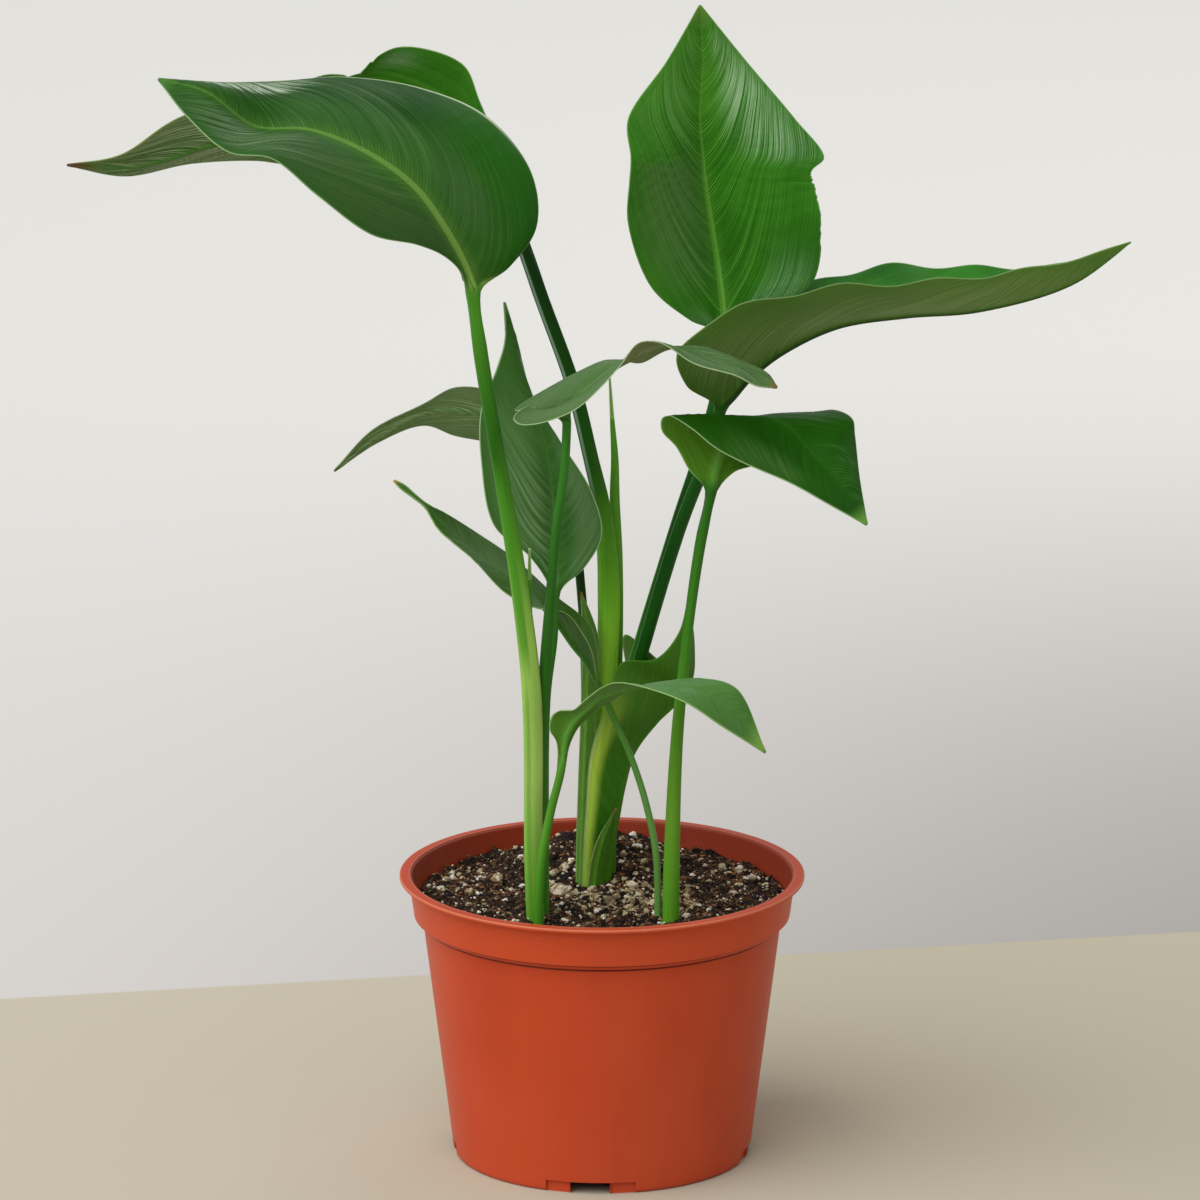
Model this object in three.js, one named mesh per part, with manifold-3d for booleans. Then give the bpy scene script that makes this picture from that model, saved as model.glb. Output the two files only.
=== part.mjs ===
// Potted bird of paradise: eleven leaves in three shoots, in a 160 mm plastic nursery pot.
// Millimetres, +Z up, origin at the centre of the pot's underside, the front towards -Y.

import * as THREE from 'three';
import { ConvexGeometry } from 'three/addons/geometries/ConvexGeometry.js';
import { mergeVertices } from 'three/addons/utils/BufferGeometryUtils.js';
import Module from 'manifold-3d';

const wasm = await Module();
wasm.setup();

// Driving sizes of the pot
const POT_HEIGHT = 114;
const RIM_RADIUS = 80;
const BASE_RADIUS = 58.9;
const WALL_SLOPE = 0.125;
const WALL = 1.4;
const FLOOR = 2.4;
const COLLAR_BOTTOM = 97.5;
const COLLAR_RADIUS_LOW = 74.4;
const COLLAR_RADIUS_TOP = 76.3;
const LIP_THICKNESS = 2.2;
const SIDES = 48;

// The four raised drain notches in the foot
const NOTCH_ANGLES = [-94.6, -4.6, 85.4, 175.4];
const NOTCH_WIDTH = 16;
const NOTCH_HEIGHT = 4.8;
const NOTCH_DEPTH = 14;
const CHEEK_WIDTH = 35;
const CHEEK_RECESS = 1.1;
const NOTCH_WALL = 1.8;

// The soil, and the holes that the shoots stand in
const SOIL_LEVEL = 103.8;
const MOUND = { height: 8, x: -1, reach: 25, from: 15, to: 60 };
const SOIL_RINGS = 11;
const ROOT_DEPTH = 78;
const CLEARANCE = 0.3;
const HOLE_LEVELS = [ROOT_DEPTH, 88, 98, 112];
const HOLE_SPARE = 0.5;

// Leaf tissue: half the blade's thickness, and how the rib thins out along it
const HALF_BLADE = 0.32;
const RIB_AT_BLADE = 0.85;
const RIB_TAPER = 0.75;
const RIB_AT_TIP = 0.3;
const HALF_TIP = 0.45;
// A rib's rise on the upper side of the blade, more on the stalk, and under it
const RISE_ABOVE = 0.1;
const RISE_ABOVE_STALK = 0.4;
const RISE_UNDER = 0.95;
const RISE_UNDER_LOST = 0.35;
// The stalk's round section opens into the flat blade over this width
const STALK_TO_BLADE = 2.5;
// Sections to each span between two rows of the blade
const BLADE_STEPS = 2;

const GREEN = {
  upper: 0x2f7a26,
  stem: 0x4f9a30,
  pale: 0x86b84a,
  dry: 0x8a6a3c,
};

// Each leaf is a loft. A stalk row is [x, y, z, half width]. A blade row holds three points:
// the rib, the left edge and the right edge, as seen on the upper side with the tip up.
const LEAVES = {
  leaf_upper_left: {
    colour: GREEN.upper,
    cup: [0.05, 0.12],
    stalk: [
      [-24.5, -37, 78, 3.5], [-26.5, -37, 122, 3.6], [-27, -39, 195, 3.9], [-31, -41, 235, 3.5],
      [-39, -44, 288, 2.9], [-46, -47, 332, 2.8], [-49, -50, 358, 2.9],
    ],
    blade: [
      [[-51, -52, 365], [-54, -56, 368], [-35, -46, 368]],
      [[-54, -54, 373], [-60, -61, 375], [-25, -40, 382]],
      [[-60, -57, 385], [-70, -69, 381], [-27, -34, 402]],
      [[-71, -59, 401], [-87, -79, 387], [-44, -30, 423]],
      [[-88, -60, 414], [-107, -84, 403], [-69, -30, 434]],
      [[-110, -60, 423], [-124, -84, 417], [-98, -34, 439]],
      [[-131, -62, 425], [-140, -82, 419], [-122, -42, 439]],
      [[-149, -66, 439], [-156, -74, 431], [-146, -56, 441]],
    ],
    tip: [-167, -66, 444],
  },
  leaf_upper_back: {
    colour: GREEN.upper,
    cup: [0.05, 0.05],
    tears: [{ side: 'left', at: 0.54, width: 0.03, depth: 2.5 }],
    stalk: [
      [-3.5, 27, 78, 4], [-2, 26.5, 116, 4.2], [1.4, 25, 170, 4.5], [3, 23, 223, 4.7],
      [0.5, 21, 256, 3.6], [-4, 19.5, 277, 3.2], [-11, 17, 307, 3.1], [-23, 14, 342, 3],
      [-33, 12, 371, 3],
    ],
    blade: [
      [[-42, 12, 388], [-37, 3, 397], [-48, 18, 382]],
      [[-53, 12, 403], [-47, -4, 424], [-63, 26, 383]],
      [[-62, 11.5, 408.5], [-53, -7, 438.5], [-74, 29.5, 384.5]],
      [[-74, 11, 413], [-67, -8, 445], [-90, 33, 387]],
      [[-88, 10.5, 415], [-79, -7, 445.5], [-101, 34, 389]],
      [[-100, 10, 415], [-87.5, -6.5, 441], [-112, 33.5, 391]],
      [[-108, 10, 414.5], [-93.5, -6, 435.2], [-119, 33, 391.5]],
      [[-117, 10, 413], [-106, -5, 434.6], [-126, 32, 392.5]],
      [[-127, 10, 410.5], [-117, -4.5, 431], [-135, 30, 394]],
      [[-154, 10, 403], [-163, 0, 417], [-160, 24, 394]],
      [[-179, 8, 396], [-186, 2, 402], [-185, 14, 391]],
    ],
    tip: [-207, 6, 397],
  },
  leaf_top_right: {
    colour: GREEN.upper,
    cup: [0.06, 0.06],
    stalk: [
      [-5, 42, 78, 2.7], [0, 44, 131, 2.7], [10, 42, 177, 2.7], [29, 37, 244, 2.6],
      [44, 34, 294, 2.6], [48, 31, 324, 2.6],
    ],
    blade: [
      [[47, 32, 338], [34, 24, 332], [64, 26, 335]],
      [[45, 35, 354], [19, 20, 346], [82, 20, 347.5]],
      [[42, 36, 373], [10, 18, 372], [85.5, 18, 371]],
      [[40, 36, 386], [10.5, 18, 387.5], [83, 19.5, 386]],
      [[39.5, 36, 392], [11, 18, 394], [81.6, 20, 392]],
      [[39, 36, 397], [11, 18.5, 398.5], [86.3, 20, 397.2]],
      [[38, 35, 411], [10, 22, 412], [75, 23.5, 412]],
      [[39, 32, 433], [25, 27, 434], [56, 28, 434]],
    ],
    tip: [38, 27, 456],
  },
  leaf_long_right: {
    colour: GREEN.upper,
    cup: [-0.05, -0.06],
    wave: { height: 1.3, length: 34 },
    stalk: [
      [-2, 35, 78, 2.7], [-2, 38, 129, 2.8], [10, 35, 175, 2.9], [30, 23, 248, 2.9],
      [43, 13, 286, 2.9], [46, 10, 300, 2.9],
    ],
    blade: [
      [[51, 9, 306], [52, 22, 308], [33, -6, 312]],
      [[57, 8, 313], [57, 34, 320], [29, -16, 329]],
      [[69, 6, 323], [68, 42, 334], [48, -24, 345]],
      [[91, 4, 334], [90, 44, 345], [76, -26, 354]],
      [[118, 0, 339], [116, 42, 350], [107, -26, 357]],
      [[146, -4, 342], [144, 34, 351], [137, -26, 359]],
      [[181, -8, 353], [177, 14, 356], [173, -18, 363]],
    ],
    tip: [204, -10, 370],
  },
  leaf_mid_right: {
    colour: GREEN.upper,
    cup: [0.05, 0.03],
    stalk: [
      [27, -33, 78, 3.4], [27, -33, 121, 3.3], [29, -32, 176, 2.4], [33.4, -31, 222, 1.9],
      [38, -29, 255, 2.1], [42, -27, 275, 2.3],
    ],
    blade: [
      [[43.5, -27, 283], [51, -24, 282], [33.5, -30, 284.5]],
      [[46, -25, 291], [59, -18, 283.5], [28.5, -32, 294]],
      [[48.5, -23, 298], [67, -6, 287], [23, -35, 301]],
      [[52, -22, 301.5], [73, 0, 291], [23, -37.5, 306.5]],
      [[56, -21.5, 303], [77, 3, 293.5], [26, -40, 308]],
      [[62, -21, 303.5], [82, 4, 297], [34, -43.5, 304]],
      [[67, -22, 302], [86, 3, 299.5], [43, -45.5, 297]],
      [[74, -24.5, 298], [89.8, 0, 301.4], [54, -46, 291]],
      [[82, -29.5, 289], [97.2, -10, 300], [71, -46, 283.5]],
      [[86, -32, 285.5], [98, -14.5, 295], [76.5, -45.5, 280.5]],
      [[94, -36, 277], [99.5, -27, 281], [87, -44, 274]],
    ],
    tip: [102, -40, 265],
  },
  leaf_arched: {
    colour: GREEN.upper,
    cup: [0.05, 0.05],
    stalk: [
      [-23.5, -29, 78, 3], [-24, -30, 120, 3], [-23.5, -33, 193, 2.9], [-20.3, -36, 238, 2.3],
      [-18.3, -37, 262, 2], [-15, -38, 286, 2], [-14, -40, 305, 2],
    ],
    blade: [
      [[-14, -40, 309.5], [-29, -38.5, 310.5], [-29, -41.5, 312]],
      [[-13, -40, 311.5], [-33.5, -37, 309.5], [-34, -45, 308.5]],
      [[-11, -40, 313.5], [-31, -34, 311.5], [-31.5, -50, 307]],
      [[-8, -41, 316.5], [-22, -31, 316.5], [-23, -54, 308.5]],
      [[-2, -42, 322], [-7, -28, 324], [-10, -57, 314.5]],
      [[3, -43, 326.5], [1, -29, 327.5], [-1, -57, 322.5]],
      [[8, -44, 330], [8, -32, 328], [7, -54, 331]],
      [[15, -44, 333], [15, -36, 328], [14, -50, 339]],
      [[24, -43, 336], [25, -36, 333], [22, -50, 339]],
      [[37, -42, 333], [38, -34, 334], [35, -51, 331]],
      [[53, -42, 327.5], [54, -35, 328.5], [51, -50, 326]],
      [[61, -43, 323.5], [63.5, -38, 324.5], [59, -48, 321.5]],
    ],
    tip: [67, -44, 320],
  },
  leaf_upright: {
    colour: GREEN.upper,
    cup: [0.05, 0.05],
    stalk: [
      [-23.3, -22, 78, 2.6], [-23.3, -22, 117, 2.6], [-22.5, -20, 190, 2.4],
      [-19.5, -18, 214, 2.2], [-18.3, -13, 232, 2.2],
    ],
    blade: [
      [[-18, -11, 239], [-28, -15, 246], [-7, -13, 241]],
      [[-19, -8, 253], [-42, -13, 258], [0, -11, 254]],
      [[-20, -4, 270], [-47, -11, 283], [-4, -6, 270]],
      [[-23, -1, 290], [-47, -6, 303], [-16, 2, 288]],
      [[-29, 3, 311], [-41, 0, 318], [-28, 7, 307]],
      [[-35, 7, 328], [-38, 5, 328], [-33, 9, 327]],
    ],
    tip: [-38, 10, 342],
  },
  leaf_low_front: {
    colour: GREEN.upper,
    cup: [0.05, 0.05],
    stalk: [
      [-25, -46, 78, 1.9], [-24, -46, 128, 1.8], [-20, -47, 152, 1.6], [-16, -49, 169, 1.6],
    ],
    blade: [
      [[-15, -49, 177], [-12.2, -48, 180], [-17.8, -50, 181.5]],
      [[-14, -50, 183], [-8.7, -47, 186.5], [-20.3, -52, 186.5]],
      [[-11.5, -51, 188.5], [-4, -46.5, 191], [-19.5, -53, 192.3]],
      [[-8.5, -52, 192.5], [0, -46, 194.5], [-16.5, -54.5, 194.8]],
      [[-5.5, -52.5, 195.5], [4, -46, 196.5], [-11.5, -55.5, 195.3]],
      [[-1, -53, 199.5], [8, -46, 199], [-5, -57.5, 201.3]],
      [[4, -53.5, 201.5], [10.5, -46, 200.3], [0.5, -60, 206]],
      [[10, -54, 203.3], [14, -46, 201.3], [6, -62, 208]],
      [[20, -56, 205], [24, -46, 204], [18, -64, 206]],
      [[35, -57, 204], [39, -48, 206], [32, -66, 201]],
      [[48, -58, 197], [52, -52, 203], [46, -64, 191]],
    ],
    tip: [63, -58, 179],
  },
  leaf_side_left: {
    colour: GREEN.upper,
    cup: [0.05, 0.05],
    stalk: [
      [-8, 21, 78, 2.2], [-8, 21, 117, 2.3], [-6, 21, 179, 2.2], [-8, 21, 224, 1.9],
      [-13, 22, 260, 1.9], [-21, 22, 278, 1.8],
    ],
    blade: [
      [[-31, 22, 288], [-33, 14, 301], [-35, 30, 279]],
      [[-44, 22, 294], [-46, 12, 307], [-45, 32, 281]],
      [[-58, 22, 296], [-58, 14, 307], [-58, 30, 284]],
      [[-71, 20, 295], [-70, 16, 300], [-70, 26, 289]],
      [[-89, 18, 286], [-90, 14, 290], [-88, 22, 283]],
    ],
    tip: [-105, 16, 273],
  },
  leaf_low_left: {
    colour: GREEN.upper,
    cup: [0, 0],
    stalk: [
      [22.3, -24.5, 78, 1.6], [22.3, -24, 100, 1.6], [21.5, -20, 127, 1.5], [18, -12, 144, 1.5],
      [12, -2, 161, 1.4], [4, 2, 178.5, 1.4], [-1, 1, 190, 1.4],
    ],
    blade: [
      [[-6, 1, 200], [-4, -7, 206], [-2, 8, 204]],
      [[-11, 2, 206], [-7, -9, 213], [-4, 12, 211]],
      [[-18, 2, 216], [-14, -9, 222], [-8, 14, 215]],
      [[-26, 1, 225], [-26, -9, 224], [-18, 14, 223]],
      [[-37, -2, 235], [-38, -12, 231], [-34, 14, 238]],
      [[-50, -4, 245], [-50, -12, 244], [-48, 10, 249]],
      [[-63, -6, 258], [-64, -10, 256], [-61, 0, 260]],
      [[-68.5, -7, 264.5], [-68.9, -7.8, 263.8], [-68.1, -6.2, 265.4]],
      [[-73, -8, 268.6], [-73.5, -8.7, 268], [-72.5, -7.3, 269.3]],
      [[-77.5, -8.5, 272.5], [-78.3, -9, 271.6], [-76.7, -8, 273.4]],
    ],
    tip: [-81, -9, 275.3],
  },
  leaf_low_centre: {
    colour: GREEN.stem,
    cup: [-0.1, -0.1],
    keel: 2,
    stalk: [],
    blade: [
      [[0.8, 19.5, 78], [3, 23.5, 78], [-9, 14.5, 78]],
      [[1.8, 19.5, 105], [3.5, 24, 104], [-8, 13.5, 106]],
      [[6.2, 20.5, 134], [7.5, 26, 134], [-6.5, 12, 137]],
      [[11.5, 22, 156], [12.5, 30, 157], [-4.5, 10, 160]],
      [[21, 24, 169], [12, 50, 172], [1.5, 7, 180]],
      [[29, 24, 177], [9, 50, 198], [7.5, 7.5, 197.5]],
      [[35, 22, 187], [27, 38, 188], [21, 8, 199]],
      [[36, 18, 200], [34, 27, 203], [30, 10, 209]],
    ],
    tip: [34, 14, 223],
  },
  spear_leaf: {
    colour: GREEN.pale,
    cup: [0, 0],
    stalk: [
      [3, 31, 78, 2], [4, 30, 135, 2.1], [6, 28, 197, 2.2], [6, 27, 234, 2.2], [5, 26, 259, 2],
      [5, 24, 276, 1.5], [4, 23, 292, 0.9],
    ],
    blade: [],
    tip: [3, 22, 309],
  },
  young_spike: {
    colour: GREEN.pale,
    cup: [0, 0],
    stalk: [
      [-28, -30, 78, 1.2], [-27, -31, 152, 1.2], [-27, -33, 197, 1.2], [-28, -35, 230, 1],
      [-28, -36, 242, 0.8],
    ],
    blade: [],
    tip: [-28, -37, 255],
  },
  centre_sheath: {
    colour: GREEN.pale,
    cup: [0, 0],
    keel: 1,
    stalk: [],
    blade: [
      [[-9.2, 17, 78], [-11, 18, 78], [-7.4, 16.6, 78]],
      [[-7.6, 16.6, 137], [-9.8, 18, 136], [-4.2, 16.4, 136]],
      [[-5.6, 16.4, 186], [-8.2, 17.5, 186], [-2, 17, 186]],
      [[-5, 16.4, 208], [-8, 17.2, 209], [-1.6, 17, 206]],
    ],
    tip: [-8.2, 17, 224],
  },
  dry_sheath: {
    colour: GREEN.dry,
    cup: [0, 0],
    keel: 0.8,
    stalk: [],
    blade: [
      [[-3.5, 9, 78], [-6.5, 10, 78], [-0.5, 11.5, 78]],
      [[-2.6, 9, 107], [-5.8, 10, 106], [0.5, 12, 107]],
      [[0.2, 9, 123], [-2.6, 9.2, 123], [3.6, 13, 122]],
    ],
    tip: [5.6, 11.5, 137],
  },
};

// Shoots that share one hole in the soil
const SHOOTS = [
  ['leaf_upper_left', 'leaf_arched', 'leaf_upright', 'leaf_low_front', 'young_spike'],
  ['leaf_upper_back', 'leaf_top_right', 'leaf_long_right', 'leaf_side_left', 'leaf_low_centre',
    'spear_leaf', 'centre_sheath', 'dry_sheath'],
  ['leaf_mid_right', 'leaf_low_left'],
];

function vec(point) {
  return new THREE.Vector3(point[0], point[1], point[2]);
}

// Manifold solid from a closed three.js geometry
function toSolid(geometry) {
  const bare = geometry.clone();
  bare.deleteAttribute('normal');
  bare.deleteAttribute('uv');
  const merged = mergeVertices(bare, 1e-4);
  return new wasm.Manifold(new wasm.Mesh({
    numProp: 3,
    vertProperties: new Float32Array(merged.attributes.position.array),
    triVerts: new Uint32Array(merged.index.array),
  }));
}

function toGeometry(solid) {
  const mesh = solid.getMesh();
  const geometry = new THREE.BufferGeometry();
  geometry.setAttribute('position', new THREE.BufferAttribute(mesh.vertProperties, 3));
  geometry.setIndex(new THREE.BufferAttribute(mesh.triVerts, 1));
  return geometry;
}

// Solid of revolution about +Z from [radius, height] pairs that start and end on the axis
function turned(profile, sides) {
  const points = profile.map(([radius, height]) => new THREE.Vector2(radius, height));
  return new THREE.LatheGeometry(points, sides).rotateX(Math.PI / 2);
}

function box(width, radialFrom, radialTo, low, high, angle) {
  const geometry = new THREE.BoxGeometry(radialTo - radialFrom, width, high - low);
  geometry.translate((radialFrom + radialTo) / 2, 0, (low + high) / 2);
  return geometry.rotateZ(THREE.MathUtils.degToRad(angle));
}

const outerRadius = (height) => BASE_RADIUS + WALL_SLOPE * height;
const innerRadius = (height) => outerRadius(height) - WALL;

// The outside of the pot from the foot to the lip's outer edge
function outerProfile() {
  const step = COLLAR_BOTTOM - 1.6;
  const lipUnder = POT_HEIGHT - LIP_THICKNESS;
  return [
    [0, 0], [BASE_RADIUS - 1.6, 0], [BASE_RADIUS - 0.2, 0.8], [outerRadius(3), 3],
    [outerRadius(step), step], [outerRadius(step) + 1.2, step + 0.4],
    [outerRadius(step) + 1.3, COLLAR_BOTTOM - 0.2], [COLLAR_RADIUS_LOW - 0.3, COLLAR_BOTTOM],
    [COLLAR_RADIUS_LOW, COLLAR_BOTTOM + 0.8], [COLLAR_RADIUS_TOP, lipUnder - 0.4],
    [RIM_RADIUS - 0.9, lipUnder], [RIM_RADIUS, POT_HEIGHT - 1.2], [RIM_RADIUS - 0.8, POT_HEIGHT],
  ];
}

// The inside of the pot from the lip down to the floor
function innerProfile() {
  const step = COLLAR_BOTTOM - 1.4;
  return [
    [COLLAR_RADIUS_TOP - 0.9, POT_HEIGHT], [COLLAR_RADIUS_TOP - 1.6, POT_HEIGHT - 1],
    [COLLAR_RADIUS_LOW - WALL, COLLAR_BOTTOM + 0.8], [innerRadius(step), step],
    [innerRadius(5), 5], [innerRadius(FLOOR) - 1.5, FLOOR + 0.2], [0, FLOOR],
  ];
}

// Blocks inside the foot that the drain notches are cut into
function notchHousing(angle, grow) {
  return toSolid(box(CHEEK_WIDTH + 2 * NOTCH_WALL + 2 * grow, BASE_RADIUS - NOTCH_DEPTH - NOTCH_WALL
    - grow, BASE_RADIUS + 5, 0.5, NOTCH_HEIGHT + NOTCH_WALL + grow, angle));
}

function buildPot() {
  const full = toSolid(turned([...outerProfile(), [0, POT_HEIGHT]], SIDES));
  let pot = toSolid(turned([...outerProfile(), ...innerProfile()], SIDES));
  const kept = toSolid(turned([
    [0, -2], [BASE_RADIUS - CHEEK_RECESS, -2], [BASE_RADIUS - CHEEK_RECESS + 0.5, NOTCH_HEIGHT + 2],
    [0, NOTCH_HEIGHT + 2],
  ], SIDES));
  for (const angle of NOTCH_ANGLES) {
    pot = pot.add(notchHousing(angle, 0).intersect(full));
  }
  for (const angle of NOTCH_ANGLES) {
    const cheeks = box(CHEEK_WIDTH, BASE_RADIUS - 12, BASE_RADIUS + 6, -1, NOTCH_HEIGHT, angle);
    const mouth = box(NOTCH_WIDTH, BASE_RADIUS - NOTCH_DEPTH, BASE_RADIUS + 6, -1, NOTCH_HEIGHT, angle);
    pot = pot.subtract(toSolid(cheeks).subtract(kept)).subtract(toSolid(mouth));
  }
  return toGeometry(pot);
}

// The mound at the back, lumps of peat and the larger grains, as a height over the plan
function soilHeight(x, y) {
  const across = Math.exp(-(((x - MOUND.x) / MOUND.reach) ** 2));
  const mound = MOUND.height * across * THREE.MathUtils.smoothstep(y, MOUND.from, MOUND.to);
  const swell = 1.1 * Math.sin(0.07 * x + 0.9) * Math.cos(0.06 * y - 0.5);
  const lumps = 0.9 * Math.sin(0.21 * x - 0.16 * y + 2) + 0.6 * Math.sin(0.37 * x + 0.31 * y);
  const grains = 0.5 * Math.sin(0.71 * x + 1.1) * Math.sin(0.67 * y + 0.4);
  return SOIL_LEVEL + mound + swell + lumps + grains;
}

// Rings of the soil from its underside, up the wall and in over the top
function soilRings() {
  const wallTop = COLLAR_BOTTOM - 1.4 + CLEARANCE;
  const rings = [
    { radius: innerRadius(5) - 2, height: () => FLOOR + CLEARANCE + 0.2 },
    { radius: innerRadius(6) - CLEARANCE, height: () => 6 },
    { radius: innerRadius(wallTop) - CLEARANCE - 0.1, height: () => wallTop },
    { radius: COLLAR_RADIUS_LOW - WALL - 2 * CLEARANCE, height: () => COLLAR_BOTTOM + 1.3 },
  ];
  const edge = COLLAR_RADIUS_LOW - WALL - CLEARANCE;
  for (let ring = 0; ring < SOIL_RINGS; ring += 1) {
    rings.push({ radius: edge * (1 - ring / SOIL_RINGS), height: soilHeight });
  }
  return rings;
}

function buildSoil(holes) {
  const positions = [0, 0, FLOOR + CLEARANCE + 0.2];
  const rings = soilRings();
  for (const ring of rings) {
    for (let side = 0; side < SIDES; side += 1) {
      const angle = 2 * Math.PI * side / SIDES;
      const x = ring.radius * Math.cos(angle);
      const y = ring.radius * Math.sin(angle);
      positions.push(x, y, ring.height(x, y));
    }
  }
  positions.push(0, 0, soilHeight(0, 0));
  const top = positions.length / 3 - 1;
  const faces = [];
  for (let side = 0; side < SIDES; side += 1) {
    const next = (side + 1) % SIDES;
    faces.push(0, 1 + next, 1 + side);
    for (let ring = 0; ring < rings.length - 1; ring += 1) {
      const low = 1 + ring * SIDES;
      const high = low + SIDES;
      faces.push(low + side, low + next, high + next, low + side, high + next, high + side);
    }
    const last = 1 + (rings.length - 1) * SIDES;
    faces.push(last + side, last + next, top);
  }
  const geometry = new THREE.BufferGeometry();
  geometry.setAttribute('position', new THREE.Float32BufferAttribute(positions, 3));
  geometry.setIndex(faces);
  let soil = toSolid(geometry);
  for (const angle of NOTCH_ANGLES) {
    soil = soil.subtract(notchHousing(angle, CLEARANCE));
  }
  for (const hole of holes) {
    soil = soil.subtract(hole);
  }
  return toGeometry(soil);
}

// Stalk, blade and tip rows in one list: rib, left edge, right edge and rib half width
function leafRows(leaf) {
  const ribs = [...leaf.stalk, ...leaf.blade.map((row) => row[0]), leaf.tip].map(vec);
  const rows = [];
  const first = leaf.blade.length ? leaf.blade[0] : [null, [0, 0, 0], [1, 0, 0]];
  let across = vec(first[2]).sub(vec(first[1])).normalize();
  for (let i = leaf.stalk.length - 1; i >= 0; i -= 1) {
    const along = ribs[i + 1].clone().sub(ribs[Math.max(i - 1, 0)]).normalize();
    across = across.clone().addScaledVector(along, -across.dot(along)).normalize();
    const half = leaf.stalk[i][3];
    rows.unshift({
      rib: ribs[i],
      left: ribs[i].clone().addScaledVector(across, -half),
      right: ribs[i].clone().addScaledVector(across, half),
      half,
    });
  }
  const thick = leaf.stalk.length ? leaf.stalk[leaf.stalk.length - 1][3] : leaf.keel;
  leaf.blade.forEach((row, index) => {
    const toGo = 1 - (index + 1) / (leaf.blade.length + 1);
    rows.push({
      rib: vec(row[0]),
      left: vec(row[1]),
      right: vec(row[2]),
      half: thick * RIB_AT_BLADE * toGo ** RIB_TAPER + RIB_AT_TIP,
    });
  });
  const end = rows[rows.length - 1];
  const span = end.right.clone().sub(end.left).normalize().multiplyScalar(HALF_TIP);
  const tip = vec(leaf.tip);
  rows.push({ rib: tip, left: tip.clone().sub(span), right: tip.clone().add(span), half: HALF_TIP });
  return rows;
}

const mix = (a, b, t) => a + (b - a) * t;
const clamp01 = (value) => Math.min(Math.max(value, 0), 1);

function curves(rows) {
  const [rib, left, right] = ['rib', 'left', 'right'].map(
    (key) => new THREE.CatmullRomCurve3(rows.map((row) => row[key])),
  );
  return { rib, left, right };
}

// Curve times to sample: one a span on the stalk, more on the blade, and three at each tear
function sampleTimes(leaf, spans) {
  const onStalk = leaf.stalk.length - 1;
  const times = [];
  for (let span = 0; span < spans; span += 1) {
    const steps = span < onStalk ? 1 : BLADE_STEPS;
    for (let step = 0; step < steps; step += 1) {
      times.push((span + step / steps) / spans);
    }
  }
  times.push(1);
  return (leaf.tears ?? []).reduce((list, tear) => {
    const at = (onStalk + tear.at * (spans - onStalk)) / spans;
    const reach = tear.width * (spans - onStalk) / spans;
    const clear = list.filter((time) => Math.abs(time - at) > reach * 1.2);
    return [...clear, at - reach, at, at + reach].sort((a, b) => a - b);
  }, times);
}

// Frames along the leaf: the three points, the rib's half width and how far up the blade it is
function leafFrames(leaf) {
  const rows = leafRows(leaf);
  const { rib, left, right } = curves(rows);
  const spans = rows.length - 1;
  const times = sampleTimes(leaf, spans);
  let arc = 0;
  let last = null;
  return times.map((time) => {
    const at = time * spans;
    const low = Math.min(Math.floor(at), spans - 1);
    const point = rib.getPoint(time);
    arc += last ? point.distanceTo(last) : 0;
    last = point;
    const frame = {
      rib: point,
      left: left.getPoint(time),
      right: right.getPoint(time),
      half: mix(rows[low].half, rows[low + 1].half, at - low),
      blade: clamp01((at - (leaf.stalk.length - 1)) / (rows.length - leaf.stalk.length)),
      arc,
    };
    for (const tear of leaf.tears ?? []) {
      const pull = tear.depth * Math.max(0, 1 - Math.abs(frame.blade - tear.at) / tear.width);
      const inward = frame.rib.clone().sub(frame[tear.side]).normalize();
      frame[tear.side].addScaledVector(inward, pull);
    }
    return frame;
  });
}

// Middle surface of the leaf: a grid of points with their distance from the rib
function middleSurface(leaf) {
  const frames = leafFrames(leaf);
  const wave = leaf.wave ?? { height: 0, length: 40 };
  const stepsAcross = leaf.blade.length > 6 ? 4 : 3;
  return frames.map((frame, index) => {
    const before = frames[Math.max(index - 1, 0)].rib;
    const after = frames[Math.min(index + 1, frames.length - 1)].rib;
    const along = after.clone().sub(before).normalize();
    const up = frame.right.clone().sub(frame.left).cross(along).normalize();
    const points = [];
    for (let k = -stepsAcross; k <= stepsAcross; k += 1) {
      const edge = k > 0 ? frame.right : frame.left;
      const cup = leaf.cup[k > 0 ? 1 : 0];
      const width = Math.max(edge.distanceTo(frame.rib), 0.3);
      const half = Math.min(frame.half, width);
      const part = Math.abs(k) / stepsAcross;
      const onStalk = width * Math.sin(part * Math.PI / 2);
      const ribEdge = half * 0.9;
      const onBlade = Math.abs(k) <= 1
        ? ribEdge * Math.abs(k)
        : ribEdge + (width - ribEdge) * (Math.abs(k) - 1) / (stepsAcross - 1);
      const opened = THREE.MathUtils.smoothstep(width - half, 0, STALK_TO_BLADE);
      const distance = mix(onStalk, onBlade, opened);
      const share = distance / width;
      const crown = cup * width * 4 * share * (1 - share) * Math.min(frame.blade * 6, 1);
      const phase = 2 * Math.PI * frame.arc / wave.length + (k > 0 ? 1.9 : 0);
      const ripple = wave.height * Math.sin(Math.PI * frame.blade) ** 0.7 * share ** 1.5 * Math.sin(phase);
      points.push({
        place: frame.rib.clone().lerp(edge, share).addScaledVector(up, crown + ripple),
        distance,
        half: frame.half,
        blade: frame.blade,
      });
    }
    return points;
  });
}

// Normal of the grid at one of its points, from the neighbours on each side
function gridNormal(grid, i, k) {
  const along = grid[Math.min(i + 1, grid.length - 1)][k].place.clone()
    .sub(grid[Math.max(i - 1, 0)][k].place);
  const across = grid[i][Math.min(k + 1, grid[i].length - 1)].place.clone()
    .sub(grid[i][Math.max(k - 1, 0)].place);
  return across.cross(along).normalize();
}

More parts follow.
